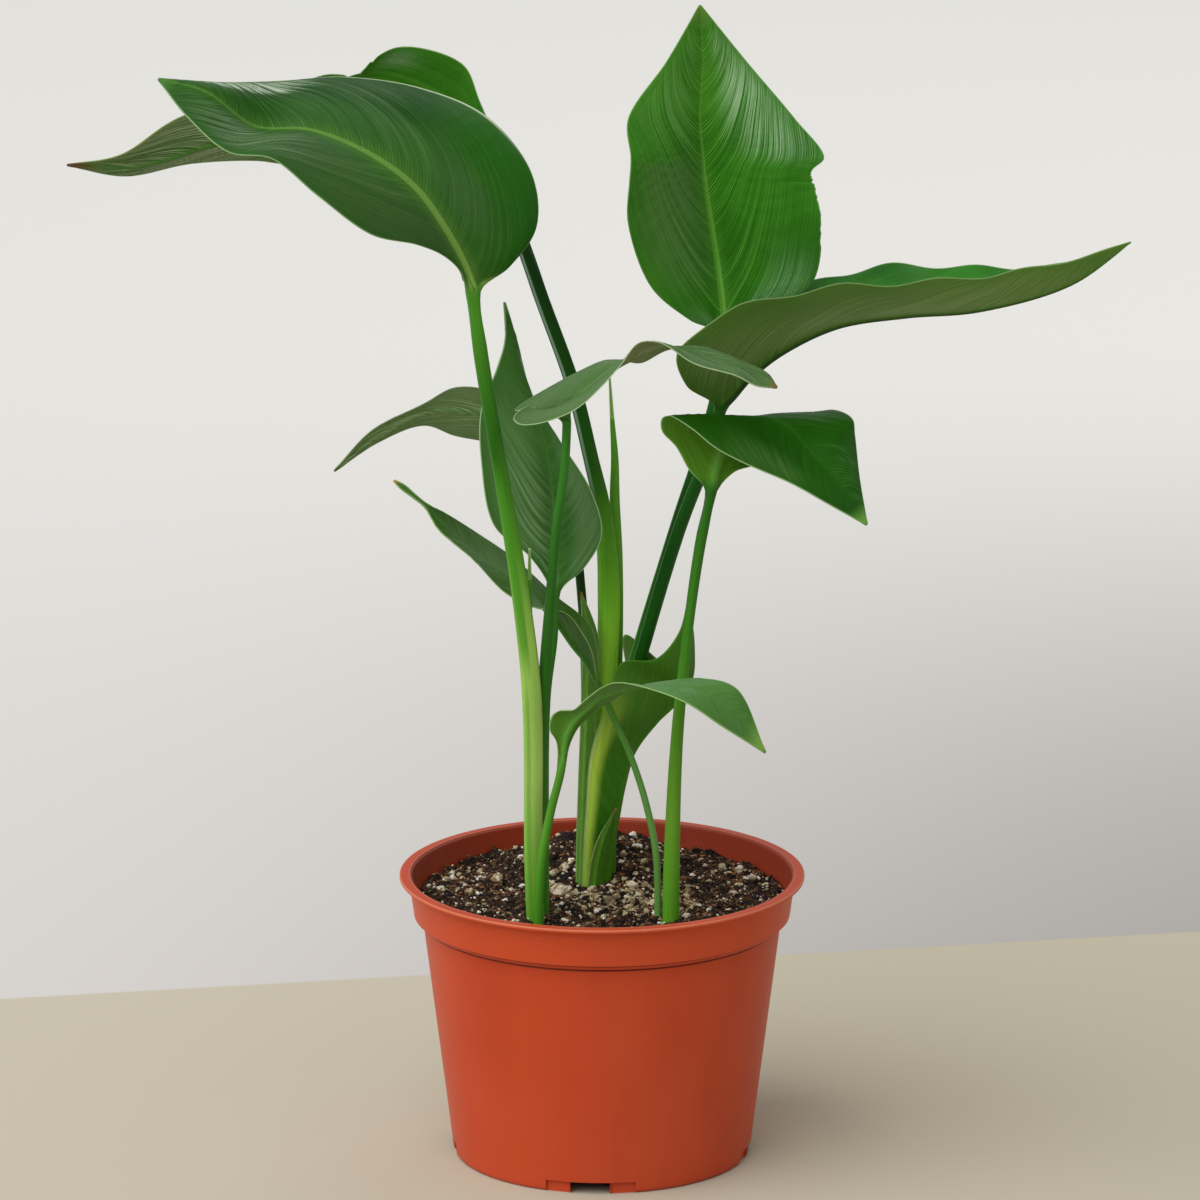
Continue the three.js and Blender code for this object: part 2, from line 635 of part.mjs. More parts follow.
// Closed leaf: the middle surface thickened both ways, with a rib along the underside
function buildLeaf(leaf) {
  const grid = middleSurface(leaf);
  const columns = grid[0].length;
  const upper = [];
  const under = [];
  grid.forEach((row, i) => row.forEach((point, k) => {
    const normal = gridNormal(grid, i, k);
    const round = Math.sqrt(Math.max(0, 1 - (point.distance / point.half) ** 2)) * point.half;
    const onTip = point.blade > 0.999 ? 0 : 1;
    const onStalk = 1 - clamp01(point.blade * 8);
    const topRise = round * onTip * (RISE_ABOVE + RISE_ABOVE_STALK * onStalk);
    const underRise = round * onTip * RISE_UNDER * (1 - RISE_UNDER_LOST * point.blade);
    upper.push(...point.place.clone().addScaledVector(normal, HALF_BLADE + topRise).toArray());
    under.push(...point.place.clone().addScaledVector(normal, -HALF_BLADE - underRise).toArray());
  }));
  const offset = grid.length * columns;
  const faces = [];
  const quad = (a, b, c, d) => faces.push(a, b, c, a, c, d);
  for (let i = 0; i < grid.length - 1; i += 1) {
    for (let k = 0; k < columns - 1; k += 1) {
      const a = i * columns + k;
      const c = a + columns + 1;
      quad(a, a + 1, c, c - 1);
      faces.push(a + offset, c + offset, a + 1 + offset, a + offset, c - 1 + offset, c + offset);
    }
    const left = i * columns;
    const right = left + columns - 1;
    quad(left, left + columns, left + columns + offset, left + offset);
    quad(right, right + offset, right + columns + offset, right + columns);
  }
  const last = (grid.length - 1) * columns;
  for (let k = 0; k < columns - 1; k += 1) {
    quad(k, k + offset, k + 1 + offset, k + 1);
    quad(last + k, last + k + 1, last + k + 1 + offset, last + k + offset);
  }
  const geometry = new THREE.BufferGeometry();
  geometry.setAttribute('position', new THREE.Float32BufferAttribute([...upper, ...under], 3));
  geometry.setIndex(faces);
  return geometry;
}

// Where a piece passes a height: its rib, both edges and half width there
function sectionAt(leaf, height) {
  const rows = leafRows(leaf);
  const { rib, left, right } = curves(rows);
  let time = 0;
  while (time < 0.5 && rib.getPoint(time).z < height) {
    time += 0.004;
  }
  const at = time * (rows.length - 1);
  const low = Math.floor(at);
  return {
    rib: rib.getPoint(time),
    left: left.getPoint(time),
    right: right.getPoint(time),
    half: mix(rows[low].half, rows[low + 1].half, at - low),
  };
}

// One plain hole round the stems of a shoot
function buildHole(names) {
  const points = [];
  const circle = (centre, radius, height) => {
    for (let side = 0; side < 8; side += 1) {
      const angle = Math.PI * side / 4;
      points.push(new THREE.Vector3(
        centre.x + radius * Math.cos(angle), centre.y + radius * Math.sin(angle), height,
      ));
    }
  };
  for (const name of names) {
    for (const height of HOLE_LEVELS) {
      const { rib, left, right, half } = sectionAt(LEAVES[name], height);
      const level = height === ROOT_DEPTH ? height - HOLE_SPARE - CLEARANCE : height;
      circle(rib, half * 1.12 + HOLE_SPARE, level);
      circle(left, HOLE_SPARE + CLEARANCE, level);
      circle(right, HOLE_SPARE + CLEARANCE, level);
    }
  }
  return toSolid(new ConvexGeometry(points));
}

function piece(name, geometry, color, roughness) {
  const material = new THREE.MeshStandardMaterial({ color, roughness, metalness: 0 });
  const mesh = new THREE.Mesh(geometry, material);
  mesh.name = name;
  return mesh;
}

const plant = new THREE.Group();
plant.add(piece('pot', buildPot(), 0xbc482b, 0.45));
plant.add(piece('soil', buildSoil(SHOOTS.map(buildHole)), 0x2b201a, 0.95));
for (const [name, leaf] of Object.entries(LEAVES)) {
  plant.add(piece(name, buildLeaf(leaf), leaf.colour, 0.4));
}

export default plant;
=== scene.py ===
"""Potted bird of paradise: a young plant of paddle leaves in a terracotta-coloured nursery pot.

Every solid of the frame is replaced here by a finer piece of the same form: the leaves are lofted
again through the same points with close steps, pleats and veins, the pot is turned smooth, and the
soil gets its crumbs, perlite and fibres. Lengths in the classes are millimetres.
"""

from __future__ import annotations

import logging
import math
from dataclasses import dataclass, field
from enum import Enum

import bmesh
import bpy
import numpy as np
from mathutils import Matrix, Vector, noise

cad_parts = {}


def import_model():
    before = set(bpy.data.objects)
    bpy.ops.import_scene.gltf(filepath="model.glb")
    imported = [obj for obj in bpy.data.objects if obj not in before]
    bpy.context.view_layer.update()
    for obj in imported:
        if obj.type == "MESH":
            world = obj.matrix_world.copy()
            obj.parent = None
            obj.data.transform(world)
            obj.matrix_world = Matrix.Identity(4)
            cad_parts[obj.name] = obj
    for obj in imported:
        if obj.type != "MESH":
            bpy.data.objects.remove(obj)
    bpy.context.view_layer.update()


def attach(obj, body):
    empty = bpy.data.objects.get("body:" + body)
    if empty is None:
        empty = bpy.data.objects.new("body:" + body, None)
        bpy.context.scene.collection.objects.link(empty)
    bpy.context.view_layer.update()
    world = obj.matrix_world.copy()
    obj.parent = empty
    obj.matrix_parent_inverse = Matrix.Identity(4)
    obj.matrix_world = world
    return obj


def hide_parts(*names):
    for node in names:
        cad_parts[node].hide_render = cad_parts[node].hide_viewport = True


LOG = logging.getLogger("plant")
MM = 0.001
BODY = "root"
PHOTO_SIDE = 1200
SENSOR_MM = 36.0

Pair = tuple[float, float]
Point = tuple[float, float, float]
Row = tuple[Point, Point, Point]
Colour = tuple[float, float, float, float]
Stops = tuple[tuple[float, str], ...]
Socket = bpy.types.NodeSocket


def paint(code: str) -> Colour:
    """Linear colour of a hex code.

    Args:
        code: Six hex digits of a screen colour.

    Returns:
        Red, green, blue and alpha in linear light.
    """
    parts = [int(code[i:i + 2], 16) / 255.0 for i in (0, 2, 4)]
    linear = [c / 12.92 if c <= 0.04045 else ((c + 0.055) / 1.055) ** 2.4 for c in parts]
    return (linear[0], linear[1], linear[2], 1.0)


def smoothstep(values: np.ndarray, low: float, high: float) -> np.ndarray:
    """Values eased from 0 at low to 1 at high."""
    t = np.clip((values - low) / (high - low), 0.0, 1.0)
    return t * t * (3.0 - 2.0 * t)


def unit(vector: np.ndarray) -> np.ndarray:
    """Vectors scaled to length 1."""
    return vector / np.maximum(np.linalg.norm(vector, axis=-1, keepdims=True), 1e-9)


def stand(name: str, data: bpy.types.ID) -> bpy.types.Object:
    """Puts a mesh, lamp or camera in the scene.

    Args:
        name: The object's name.
        data: What the object shows.

    Returns:
        The object.
    """
    piece = bpy.data.objects.new(name, data)
    bpy.context.scene.collection.objects.link(piece)
    return piece


def stand_shape(name: str, shape: bmesh.types.BMesh) -> bpy.types.Object:
    """Puts closed shapes in the scene, with their faces outwards.

    Args:
        name: The object's name.
        shape: The shapes, which are freed.

    Returns:
        The object.
    """
    mesh = bpy.data.meshes.new(name)
    bmesh.ops.recalc_face_normals(shape, faces=shape.faces)
    shape.to_mesh(mesh)
    shape.free()
    return stand(name, mesh)


class Signal:
    """A value of a tree of nodes, which Python arithmetic turns into Math nodes."""

    def __init__(self, graph: NodeTree, socket: Socket) -> None:
        """Wraps an output socket of the tree."""
        self.graph = graph
        self.socket = socket

    def _math(self, operation: str, *values: Signal | float) -> Signal:
        """One Math node of that operation on the values."""
        node = self.graph.node("ShaderNodeMath", {"operation": operation}, dict(enumerate(values)))
        return Signal(self.graph, node.outputs[0])

    def __add__(self, other: Signal | float) -> Signal:
        """Sum."""
        return self._math("ADD", self, other)

    def __radd__(self, other: float) -> Signal:
        """Sum with a number on the left."""
        return self._math("ADD", other, self)

    def __sub__(self, other: Signal | float) -> Signal:
        """Difference."""
        return self._math("SUBTRACT", self, other)

    def __rsub__(self, other: float) -> Signal:
        """Difference from a number on the left."""
        return self._math("SUBTRACT", other, self)

    def __mul__(self, other: Signal | float) -> Signal:
        """Product."""
        return self._math("MULTIPLY", self, other)

    def __rmul__(self, other: float) -> Signal:
        """Product with a number on the left."""
        return self._math("MULTIPLY", other, self)

    def __truediv__(self, other: Signal | float) -> Signal:
        """Quotient."""
        return self._math("DIVIDE", self, other)

    def __rtruediv__(self, other: float) -> Signal:
        """Quotient of a number on the left."""
        return self._math("DIVIDE", other, self)

    def __pow__(self, other: float) -> Signal:
        """Power."""
        return self._math("POWER", self, other)

    def __abs__(self) -> Signal:
        """Absolute value."""
        return self._math("ABSOLUTE", self)

    def sine(self) -> Signal:
        """Sine of the value in radians."""
        return self._math("SINE", self)

    def most(self, other: Signal | float) -> Signal:
        """The larger of the two values."""
        return self._math("MAXIMUM", self, other)

    def step(self, low: float, high: float) -> Signal:
        """A smooth step from 0 at low to 1 at high.

        Args:
            low: Where the step starts.
            high: Where it ends. It may be below low, and then the step falls.

        Returns:
            The step as a value from 0 to 1.
        """
        ends = {1: min(low, high), 2: max(low, high)}
        node = self.graph.node("ShaderNodeMapRange", {"interpolation_type": "SMOOTHSTEP"}, {0: self, **ends})
        rising = Signal(self.graph, node.outputs[0])
        return 1.0 - rising if low > high else rising


class NodeTree:
    """A tree of nodes, with one method that adds any node."""

    def __init__(self, tree: bpy.types.NodeTree) -> None:
        """Keeps the tree."""
        self.tree = tree

    def node(self, kind: str, settings: dict | None = None, inputs: dict | None = None) -> bpy.types.Node:
        """Adds a node.

        Args:
            kind: The node's type.
            settings: Its properties, set first. "stops" are a ramp's (position, colour) pairs.
            inputs: Values, signals or sockets by the input's name or index.

        Returns:
            The node.
        """
        node = self.tree.nodes.new(kind)
        for name, value in (settings or {}).items():
            if name == "stops":
                self._set_stops(node.color_ramp.elements, value)
            else:
                setattr(node, name, value)
        for key, value in (inputs or {}).items():
            source = value.socket if isinstance(value, Signal) else value
            if isinstance(source, Socket):
                self.tree.links.new(source, node.inputs[key])
            else:
                node.inputs[key].default_value = source
        return node

    @staticmethod
    def _set_stops(elements: bpy.types.ColorRampElements, stops: list[tuple[float, Colour]]) -> None:
        """Sets the stops of a colour ramp.

        Args:
            elements: The ramp's own stops, one at 0 and one at 1.
            stops: Pairs of a position and a colour, the first at 0 and the last at 1.
        """
        elements[0].color = stops[0][1]
        elements[1].color = stops[-1][1]
        for position, colour in stops[1:-1]:
            elements.new(position).color = colour


class Graph(NodeTree):
    """The nodes of one material."""

    def __init__(self, name: str) -> None:
        """Starts an empty tree in a new material.

        Args:
            name: The material's name.
        """
        self.material = bpy.data.materials.new(name)
        self.material.use_nodes = True
        super().__init__(self.material.node_tree)
        self.tree.nodes.clear()

    def place(self) -> Socket:
        """Object coordinates in millimetres."""
        ends = {0: self.node("ShaderNodeTexCoord").outputs["Object"], 1: (1.0 / MM,) * 3}
        return self.node("ShaderNodeVectorMath", {"operation": "MULTIPLY"}, ends).outputs[0]

    def split(self, vector: Socket) -> tuple[Signal, Signal, Signal]:
        """The three parts of a vector."""
        node = self.node("ShaderNodeSeparateXYZ", None, {0: vector})
        return tuple(Signal(self, out) for out in node.outputs)

    def join(self, x: Signal | float, y: Signal | float, z: Signal | float = 0.0) -> Socket:
        """A vector from three values."""
        return self.node("ShaderNodeCombineXYZ", None, {0: x, 1: y, 2: z}).outputs[0]

    def attribute(self, name: str) -> tuple[Signal, Signal, Signal]:
        """The three parts of a vector attribute of the mesh."""
        return self.split(self.node("ShaderNodeAttribute", {"attribute_name": name}).outputs["Vector"])

    def noise(self, vector: Socket, scale: float, detail: float = 3.0, rough: float = 0.5) -> Signal:
        """Noise from about 0.2 to 0.8 over a vector."""
        inputs = {"Vector": vector, "Scale": scale, "Detail": detail, "Roughness": rough}
        return Signal(self, self.node("ShaderNodeTexNoise", None, inputs).outputs["Fac"])

    def cells(self, vector: Socket, scale: float) -> tuple[Signal, Socket]:
        """Distance to the nearest cell point, and the cells' random colours."""
        node = self.node("ShaderNodeTexVoronoi", None, {"Vector": vector, "Scale": scale})
        return Signal(self, node.outputs["Distance"]), node.outputs["Color"]

    def mix(self, factor: Signal | float, first: object, second: object) -> Socket:
        """A colour between two colours."""
        return self.node("ShaderNodeMix", {"data_type": "RGBA"}, {0: factor, 6: first, 7: second}).outputs[2]

    def tint(self, colour: object, factor: Signal | float, shade: object) -> Socket:
        """A colour multiplied by a shade, as far as the factor says."""
        settings = {"data_type": "RGBA", "blend_type": "MULTIPLY"}
        return self.node("ShaderNodeMix", settings, {0: factor, 6: colour, 7: shade}).outputs[2]

    def ramp(self, value: Signal, stops: Stops) -> Socket:
        """Colours along a value.

        Args:
            value: What the colours follow.
            stops: Pairs of a value and a hex colour, rising.

        Returns:
            The colour.
        """
        low, high = stops[0][0], stops[-1][0]
        placed = [((at - low) / (high - low), paint(code)) for at, code in stops]
        factor = (value - low) / (high - low)
        return self.node("ShaderNodeValToRGB", {"stops": placed}, {0: factor}).outputs[0]

    def bump(self, height: Signal, distance: float, normal: Socket | None = None) -> Socket:
        """Normals of a relief.

        Args:
            height: The relief, from 0 to 1.
            distance: How high 1 stands, in millimetres.
            normal: Normals that it is laid on, if any.

        Returns:
            The normals.
        """
        inputs = {"Strength": 1.0, "Distance": distance * MM, "Height": height}
        if normal is not None:
            inputs["Normal"] = normal
        return self.node("ShaderNodeBump", None, inputs).outputs[0]

    def surface(self, **inputs: object) -> bpy.types.Material:
        """Ends the tree in a Principled shader with those inputs.

        Args:
            **inputs: Values by the socket's name, with _ for a space.

        Returns:
            The finished material.
        """
        named = {name.replace("_", " "): value for name, value in inputs.items()}
        shader = self.node("ShaderNodeBsdfPrincipled", None, named)
        self.node("ShaderNodeOutputMaterial", None, {"Surface": shader.outputs[0]})
        return self.material


class Slot(Enum):
    """The material slots."""

    POT = "pot_plastic"
    SOIL = "potting_mix"
    LEAF = "leaf"
    NEW = "new_growth"
    DRY = "dry_sheath"


class Side(Enum):
    """The side of a leaf, seen on its upper face with the tip up."""

    LEFT = -1
    BOTH = 0
    RIGHT = 1


@dataclass(frozen=True)
class Patch:
    """A patch of a leaf in another colour: some are the leaf's own tints, some are painted sheen, painted
    highlight or painted shade.

    Attributes:
        side: The half of the leaf that it lies on.
        along: Where it starts and ends, as shares of the blade, or on the stalk as heights.
        across: Where it starts and ends between the rib and the margin, as shares of the width.
        colour: Its colour.
        strength: How much of the colour shows at its middle.
        soft: How far its two ends fade.
        feather: How far its two sides fade.
        streaky: How much the streaks of the blade break it up.
        on_stalk: Whether it lies on the stalk.
    """

    side: Side
    along: tuple[float, float]
    across: tuple[float, float]
    colour: str
    strength: float = 0.5
    soft: float = 0.06
    feather: float = 0.12
    streaky: float = 0.6
    on_stalk: bool = False

    def zone(self, across: Signal, along: Signal, share: Signal) -> Signal:
        """How far a point is inside the patch.

        Args:
            across: Signed distance from the rib.
            along: Blade share, or height on the stalk.
            share: Distance from the rib as a share of the width.

        Returns:
            A value from 0 outside to 1 inside.
        """
        low, high = self.along
        inner, outer = self.across
        zone = along.step(low - self.soft, low + self.soft) * along.step(high + self.soft, high - self.soft)
        zone = zone * share.step(outer + self.feather, outer - self.feather)
        if inner > 0.0:
            zone = zone * share.step(inner - self.feather, inner + self.feather)
        if self.side is not Side.BOTH:
            zone = zone * (across * float(self.side.value)).step(-0.4, 0.4)
        return zone


@dataclass(frozen=True)
class LeafFinish:
    """Waxy leaf: its colours above and below, along the rib and the stalk, and a pale margin line that is a
    painted highlight.
    """

    upper: str = "1c5c0c"
    upper_light: str = "2f7f16"
    under: str = "4f7a30"
    under_light: str = "7d9a5c"
    rib: str = "79b040"
    rib_under: str = "3f7a28"
    rib_fade: float = 0.5
    stalk: Stops = ((90.0, "4f9a24"), (300.0, "2f7a1c"))
    # margin and rim: colour and strength of the pale margin line, a painted highlight along the leaf's edge.
    margin: str = "a9cc84"
    glint: str = "86b860"
    rim: float = 0.7
    tip: str = "5d8a34"
    stripes: float = 0.4
    patches: tuple[Patch, ...] = ()
    roughness: float = 0.34
    seed: float = 0.0
    grain: float = 1.0

    def material(self, name: str) -> bpy.types.Material:
        """Builds the shader.

        Args:
            name: The material's name.

        Returns:
            A material that reads the leaf's own attributes.
        """
        graph = Graph(name)
        across, along, face = graph.attribute("leaf_place")
        share, blade, width = graph.attribute("leaf_part")
        vein, rib_half, height = graph.attribute("leaf_vein")
        on_blade = blade.step(0.0, 0.07)
        top = face.step(-0.2, 0.2)

        def drawn(per_mm: float, outwards: float, detail: float, rough: float = 0.5) -> Signal:
            """Noise that is drawn out along the veins."""
            spot = graph.join(vein * per_mm + self.seed, share * outwards, face)
            return graph.noise(spot, 1.0, detail, rough)

        streak = drawn(0.42, 1.1, 4.0, 0.6)
        drift = drawn(0.16, 2.0, 2.0)
        hairs = drawn(1.5, 0.9, 3.0, 0.65)
        cloud = graph.noise(graph.join(across * 0.035 + self.seed, along * 0.03, face), 1.0, 2.0, 0.5)
        veins = ((vein * 4.3 + drift * 9.0).sine() * 0.5 + 0.5) * streak.step(0.25, 0.7)

        depth = min(1.0, self.grain)
        tone = (streak - 0.5) * (0.45 + 0.45 * depth) + cloud
        tone = tone + ((hairs - 0.5) * 0.6 + (veins - 0.5) * 0.42) * depth
        green = graph.mix(tone.step(0.15, 0.9), paint(self.upper), paint(self.upper_light))
        stripe = (streak * 0.75 + veins * 0.2).step(0.35, 0.65)
        below = graph.mix(stripe * self.stripes + cloud * 0.3, paint(self.under), paint(self.under_light))
        colour = graph.mix(top, below, green)
        threads = (streak * 0.45 + hairs * 0.55).step(0.45, 0.6)
        for patch in self.patches:
            if not patch.on_stalk:
                zone = patch.zone(across, blade + (streak - 0.5) * 0.3 * patch.streaky, share)
                threaded = threads * patch.streaky + (1.0 - patch.streaky)
                colour = graph.mix(zone * threaded * patch.strength, colour, paint(patch.colour))
        fine = hairs * 0.6 + veins * 0.4
        colour = graph.tint(colour, fine.step(0.5, 0.24) * 0.5 * self.grain, (0.42, 0.58, 0.4, 1.0))
        colour = graph.mix(fine.step(0.5, 0.76) * 0.3 * self.grain, colour, paint(self.glint))

        side = abs(across)
        glow = side.step(6.0, 0.5) * 0.25 * top * (1.0 - blade)
        rib = (side / rib_half).step(0.95, 0.5) * (0.95 - blade * self.rib_fade)
        colour = graph.mix(rib.most(glow), colour, graph.mix(top, paint(self.rib_under), paint(self.rib)))

        fibre = graph.noise(graph.join(across * 1.5 + self.seed, height * 0.012, face), 1.0, 3.0)
        blotch = graph.noise(graph.join(across * 0.25, height * 0.03 + self.seed, face), 1.0, 2.0)
        stalk = graph.ramp(height + (blotch - 0.5) * 30.0, self.stalk)
        stalk = graph.tint(stalk, fibre.step(0.6, 0.36) * 0.35, (0.66, 0.74, 0.55, 1.0))
        for patch in self.patches:
            if patch.on_stalk:
                zone = patch.zone(across, height, share)
                stalk = graph.mix(zone * patch.strength, stalk, paint(patch.colour))
        colour = graph.mix(on_blade, stalk, colour)

        # The pale margin line: painted highlight along the leaf's edge.
        edge = ((1.0 - share) * width).step(0.7, 0.2) * on_blade
        colour = graph.mix(edge * self.rim, colour, paint(self.margin))
        colour = graph.mix(blade.step(0.95, 0.995), colour, paint(self.tip))
        rough = (streak - 0.5) * 0.18 + (1.0 - top) * 0.12 + self.roughness
        normal = graph.bump(streak * 0.6 + (hairs * 0.45 + veins * 0.35) * depth, 0.2)
        return graph.surface(
            Base_Color=colour, Roughness=rough, Normal=normal, Specular_IOR_Level=0.14, IOR=1.45
        )


@dataclass(frozen=True)
class PotFinish:
    """Satin moulded plastic with a faint mottle, flow lines and scuffs, painted shade inside and under the
    collar, and painted highlights on the rim's edges.
    """

    base: str = "c14523"
    pale: str = "c44c2b"
    deep: str = "a83a1e"
    collar: str = "d0502b"
    inside_shade: str = "7c2814"
    collar_shade: str = "561a0e"
    wear_and_edge_highlight: str = "d08a6c"
    dust: str = "7a4a34"
    roughness: float = 0.42
    collar_from: float = 97.5
    upper_line: float = 97.3
    lower_line: float = 94.9
    line_radius: float = 70.2
    rim_radius: float = 77.9
    rim_half: float = 1.9
    rim_top: float = 113.9
    hollow_from: float = 98.0
    hollow_radius: float = 74.0
    hollow_slope: float = 0.142
    dusty_below: float = 111.0

    def material(self) -> bpy.types.Material:
        """Builds the shader.

        Returns:
            A material that reads Object coordinates.
        """
        graph = Graph("pot_plastic")
        spot = graph.place()
        x, y, z = graph.split(spot)
        radius = (x * x + y * y) ** 0.5
        broad = graph.noise(spot, 0.012, 2.0)
        flow = graph.noise(graph.join(x * 0.03, y * 0.03, z * 0.012), 1.0, 3.0)
        grain = graph.noise(spot, 1.4, 3.0, 0.6)
        colour = graph.mix(broad.step(0.3, 0.7), paint(self.base), paint(self.pale))
        colour = graph.mix(flow.step(0.5, 0.75) * 0.3, colour, paint(self.deep))
        on_collar = z.step(self.collar_from - 1.0, self.collar_from + 1.0)
        colour = graph.mix(on_collar * 0.6, colour, paint(self.collar))
        scuff = graph.noise(graph.join(x * 0.2, y * 0.2, z * 1.3), 1.0, 5.0, 0.7)
        marks = scuff.step(0.6, 0.72) * z.step(self.rim_top - 9.9, self.rim_top - 0.3) * 0.5
        colour = graph.mix(marks, colour, paint(self.wear_and_edge_highlight))
        # Two thin dark lines under the collar: painted shade below its edge and in the groove beneath.
        lines = abs(z - self.upper_line).step(0.5, 0.15).most(abs(z - self.lower_line).step(0.45, 0.15))
        lines = lines * radius.step(self.line_radius - 0.2, self.line_radius + 0.2)
        colour = graph.mix(lines * 0.85, colour, paint(self.collar_shade))
        inner = self.rim_radius - self.rim_half
        flat = radius.step(inner, inner + 0.6) * z.step(self.rim_top - 0.3, self.rim_top)
        colour = graph.mix(flat * 0.6, colour, paint(self.deep))
        # Pale lines on both edges of the rim: worn edges, partly a painted highlight.
        corner = abs(radius - self.rim_radius).step(self.rim_half - 0.4, self.rim_half)
        corner = corner * z.step(self.rim_top - 0.8, self.rim_top - 0.2)
        colour = graph.mix(corner * 0.55, colour, paint(self.wear_and_edge_highlight))
        # The pot's inner wall above the collar darkened: painted shade.
        upright = radius - (z - self.hollow_from) * self.hollow_slope
        inside = upright.step(self.hollow_radius, self.hollow_radius - 0.5)
        inside = inside * z.step(self.hollow_from, self.hollow_from + 1.0)
        colour = graph.mix(inside * 0.75, colour, paint(self.inside_shade))
        crumbs = graph.noise(spot, 0.35, 5.0, 0.7)
        low = inside * z.step(self.dusty_below, self.dusty_below - 5.0)
        soiled = crumbs.step(0.58, 0.72) * z.step(3.0, 0.5).most(low)
        colour = graph.mix(soiled * 0.5, colour, paint(self.dust))
        rough = (broad - 0.5) * 0.16 + (grain - 0.5) * 0.12 + marks * 0.4 + self.roughness
        normal = graph.bump(graph.noise(spot, 0.05, 2.0), 0.3, graph.bump(grain, 0.02))
        return graph.surface(
            Base_Color=colour, Roughness=rough, Normal=normal, IOR=1.49, Specular_IOR_Level=0.18
        )


@dataclass(frozen=True)
class PeatFinish:
    """Damp dark peat between the grains."""

    dark: str = "0c0806"
    brown: str = "4a3222"

    def material(self) -> bpy.types.Material:
        """Builds the shader.

        Returns:
            A material that reads Object coordinates.
        """
        graph = Graph("peat")
        spot = graph.place()
        crumbs, _ = graph.cells(spot, 0.8)
        fine = graph.noise(spot, 1.1, 5.0, 0.75)
        patches = graph.noise(spot, 0.09, 3.0)
        tone = (fine + (0.5 - crumbs) * 0.5 + (patches - 0.5) * 0.8).step(0.35, 0.85)
        colour = graph.mix(tone, paint(self.dark), paint(self.brown))
        normal = graph.bump(fine + (1.0 - crumbs) * 0.6, 1.2)
        rough = 0.8 + (fine - 0.5) * 0.4
        return graph.surface(Base_Color=colour, Roughness=rough, Normal=normal, Specular_IOR_Level=0.25)


@dataclass(frozen=True)
class GrainFinish:
    """Loose grains of one kind, each with its own tone."""

    name: str
    dark: str
    light: str
    roughness: float = 0.85
    pits: float = 0.5
    shade: float = 0.0

    def material(self) -> bpy.types.Material:
        """Builds the shader.

        Returns:
            A material that reads Object coordinates.
        """
        graph = Graph(self.name)
        spot = graph.place()
        _, tones = graph.cells(spot, 0.32)
        tone, other, _ = graph.split(tones)
        fine = graph.noise(spot, 2.2, 4.0, 0.65)
        mixed = (tone * 0.75 + (fine - 0.5) * 0.9).step(0.0, 0.9)
        colour = graph.mix(mixed, paint(self.dark), paint(self.light))
        # Random darker zones over the grains.
        dark_zones = graph.noise(spot, 0.13, 4.0, 0.6).step(0.54, 0.42)
        colour = graph.tint(colour, dark_zones * self.shade, (0.12, 0.1, 0.09, 1.0))
        normal = graph.bump(fine, 0.6 * self.pits)
        rough = self.roughness + (other - 0.5) * 0.15
        return graph.surface(Base_Color=colour, Roughness=rough, Normal=normal, Specular_IOR_Level=0.25)


@dataclass(frozen=True)
class Tear:
    """A nick in a margin: where along the blade, how long and how deep."""

    side: Side
    at: float
    width: float
    depth: float


@dataclass(frozen=True)
class LeafForm:
    """One leaf with its stalk, as the points that its rib and edges run through.

    Attributes:
        node: The node of the frame that it replaces.
        finish: Its colours.
        tip: Its last point.
        slot: The material slot that it belongs to. Nothing here reads it.
        stalk: Points of the rib from the foot up, each with the stalk's half width.
        blade: Points of the rib, the left edge and the right edge.
        cup: How high the left and the right half bulge, as shares of their width.
        keel: Half width of the rib, where there is no stalk to give it.
        tears: Nicks in the margins.
        wave: Height of the waves of the margins.
        wave_length: Length of the waves.
        pleat: Height of the pleats between the veins.
        ragged: Start, end and depth of a ragged stretch of the right margin.
        lean: How far the veins run on towards the tip while they cross the blade.
    """

    node: str
    finish: LeafFinish
    tip: Point
    slot: Slot = Slot.LEAF
    stalk: tuple[tuple[float, float, float, float], ...] = ()
    blade: tuple[Row, ...] = ()
    cup: tuple[float, float] = (0.05, 0.05)
    keel: float = 2.0
    tears: tuple[Tear, ...] = ()
    wave: float = 0.0
    wave_length: float = 40.0
    pleat: float = 0.22
    ragged: tuple[float, float, float] = (0.0, 0.0, 0.0)
    lean: float = 1.0


class Spline:
    """Centripetal Catmull-Rom curve through points."""

    def __init__(self, points: np.ndarray) -> None:
        """Keeps the points, with one more past each end.

        Args:
            points: What the curve runs through.
        """
        first = 2.0 * points[0] - points[1]
        last = 2.0 * points[-1] - points[-2]
        self.points = np.vstack([first, points, last])
        self.spans = len(points) - 1

    def at(self, times: np.ndarray) -> np.ndarray:
        """Points of the curve at times from 0 to 1."""
        return np.array([self._one(time) for time in times])

    def _one(self, time: float) -> np.ndarray:
        """One point of the curve.

        Args:
            time: Where it is, from 0 to 1.

        Returns:
            The point.
        """
        position = time * self.spans
        span = min(int(position), self.spans - 1)
        w = position - span
        p0, p1, p2, p3 = self.points[span:span + 4]
        d0, d1, d2 = (math.sqrt(np.linalg.norm(b - a)) for a, b in ((p0, p1), (p1, p2), (p2, p3)))
        d1 = d1 if d1 > 1e-4 else 1.0
        d0 = d0 if d0 > 1e-4 else d1
        d2 = d2 if d2 > 1e-4 else d1
        t1 = ((p1 - p0) / d0 - (p2 - p0) / (d0 + d1) + (p2 - p1) / d1) * d1
        t2 = ((p2 - p1) / d1 - (p3 - p1) / (d1 + d2) + (p3 - p2) / d2) * d1
        c2 = -3.0 * p1 + 3.0 * p2 - 2.0 * t1 - t2
        c3 = 2.0 * p1 - 2.0 * p2 + t1 + t2
        return p1 + t1 * w + c2 * w * w + c3 * w ** 3


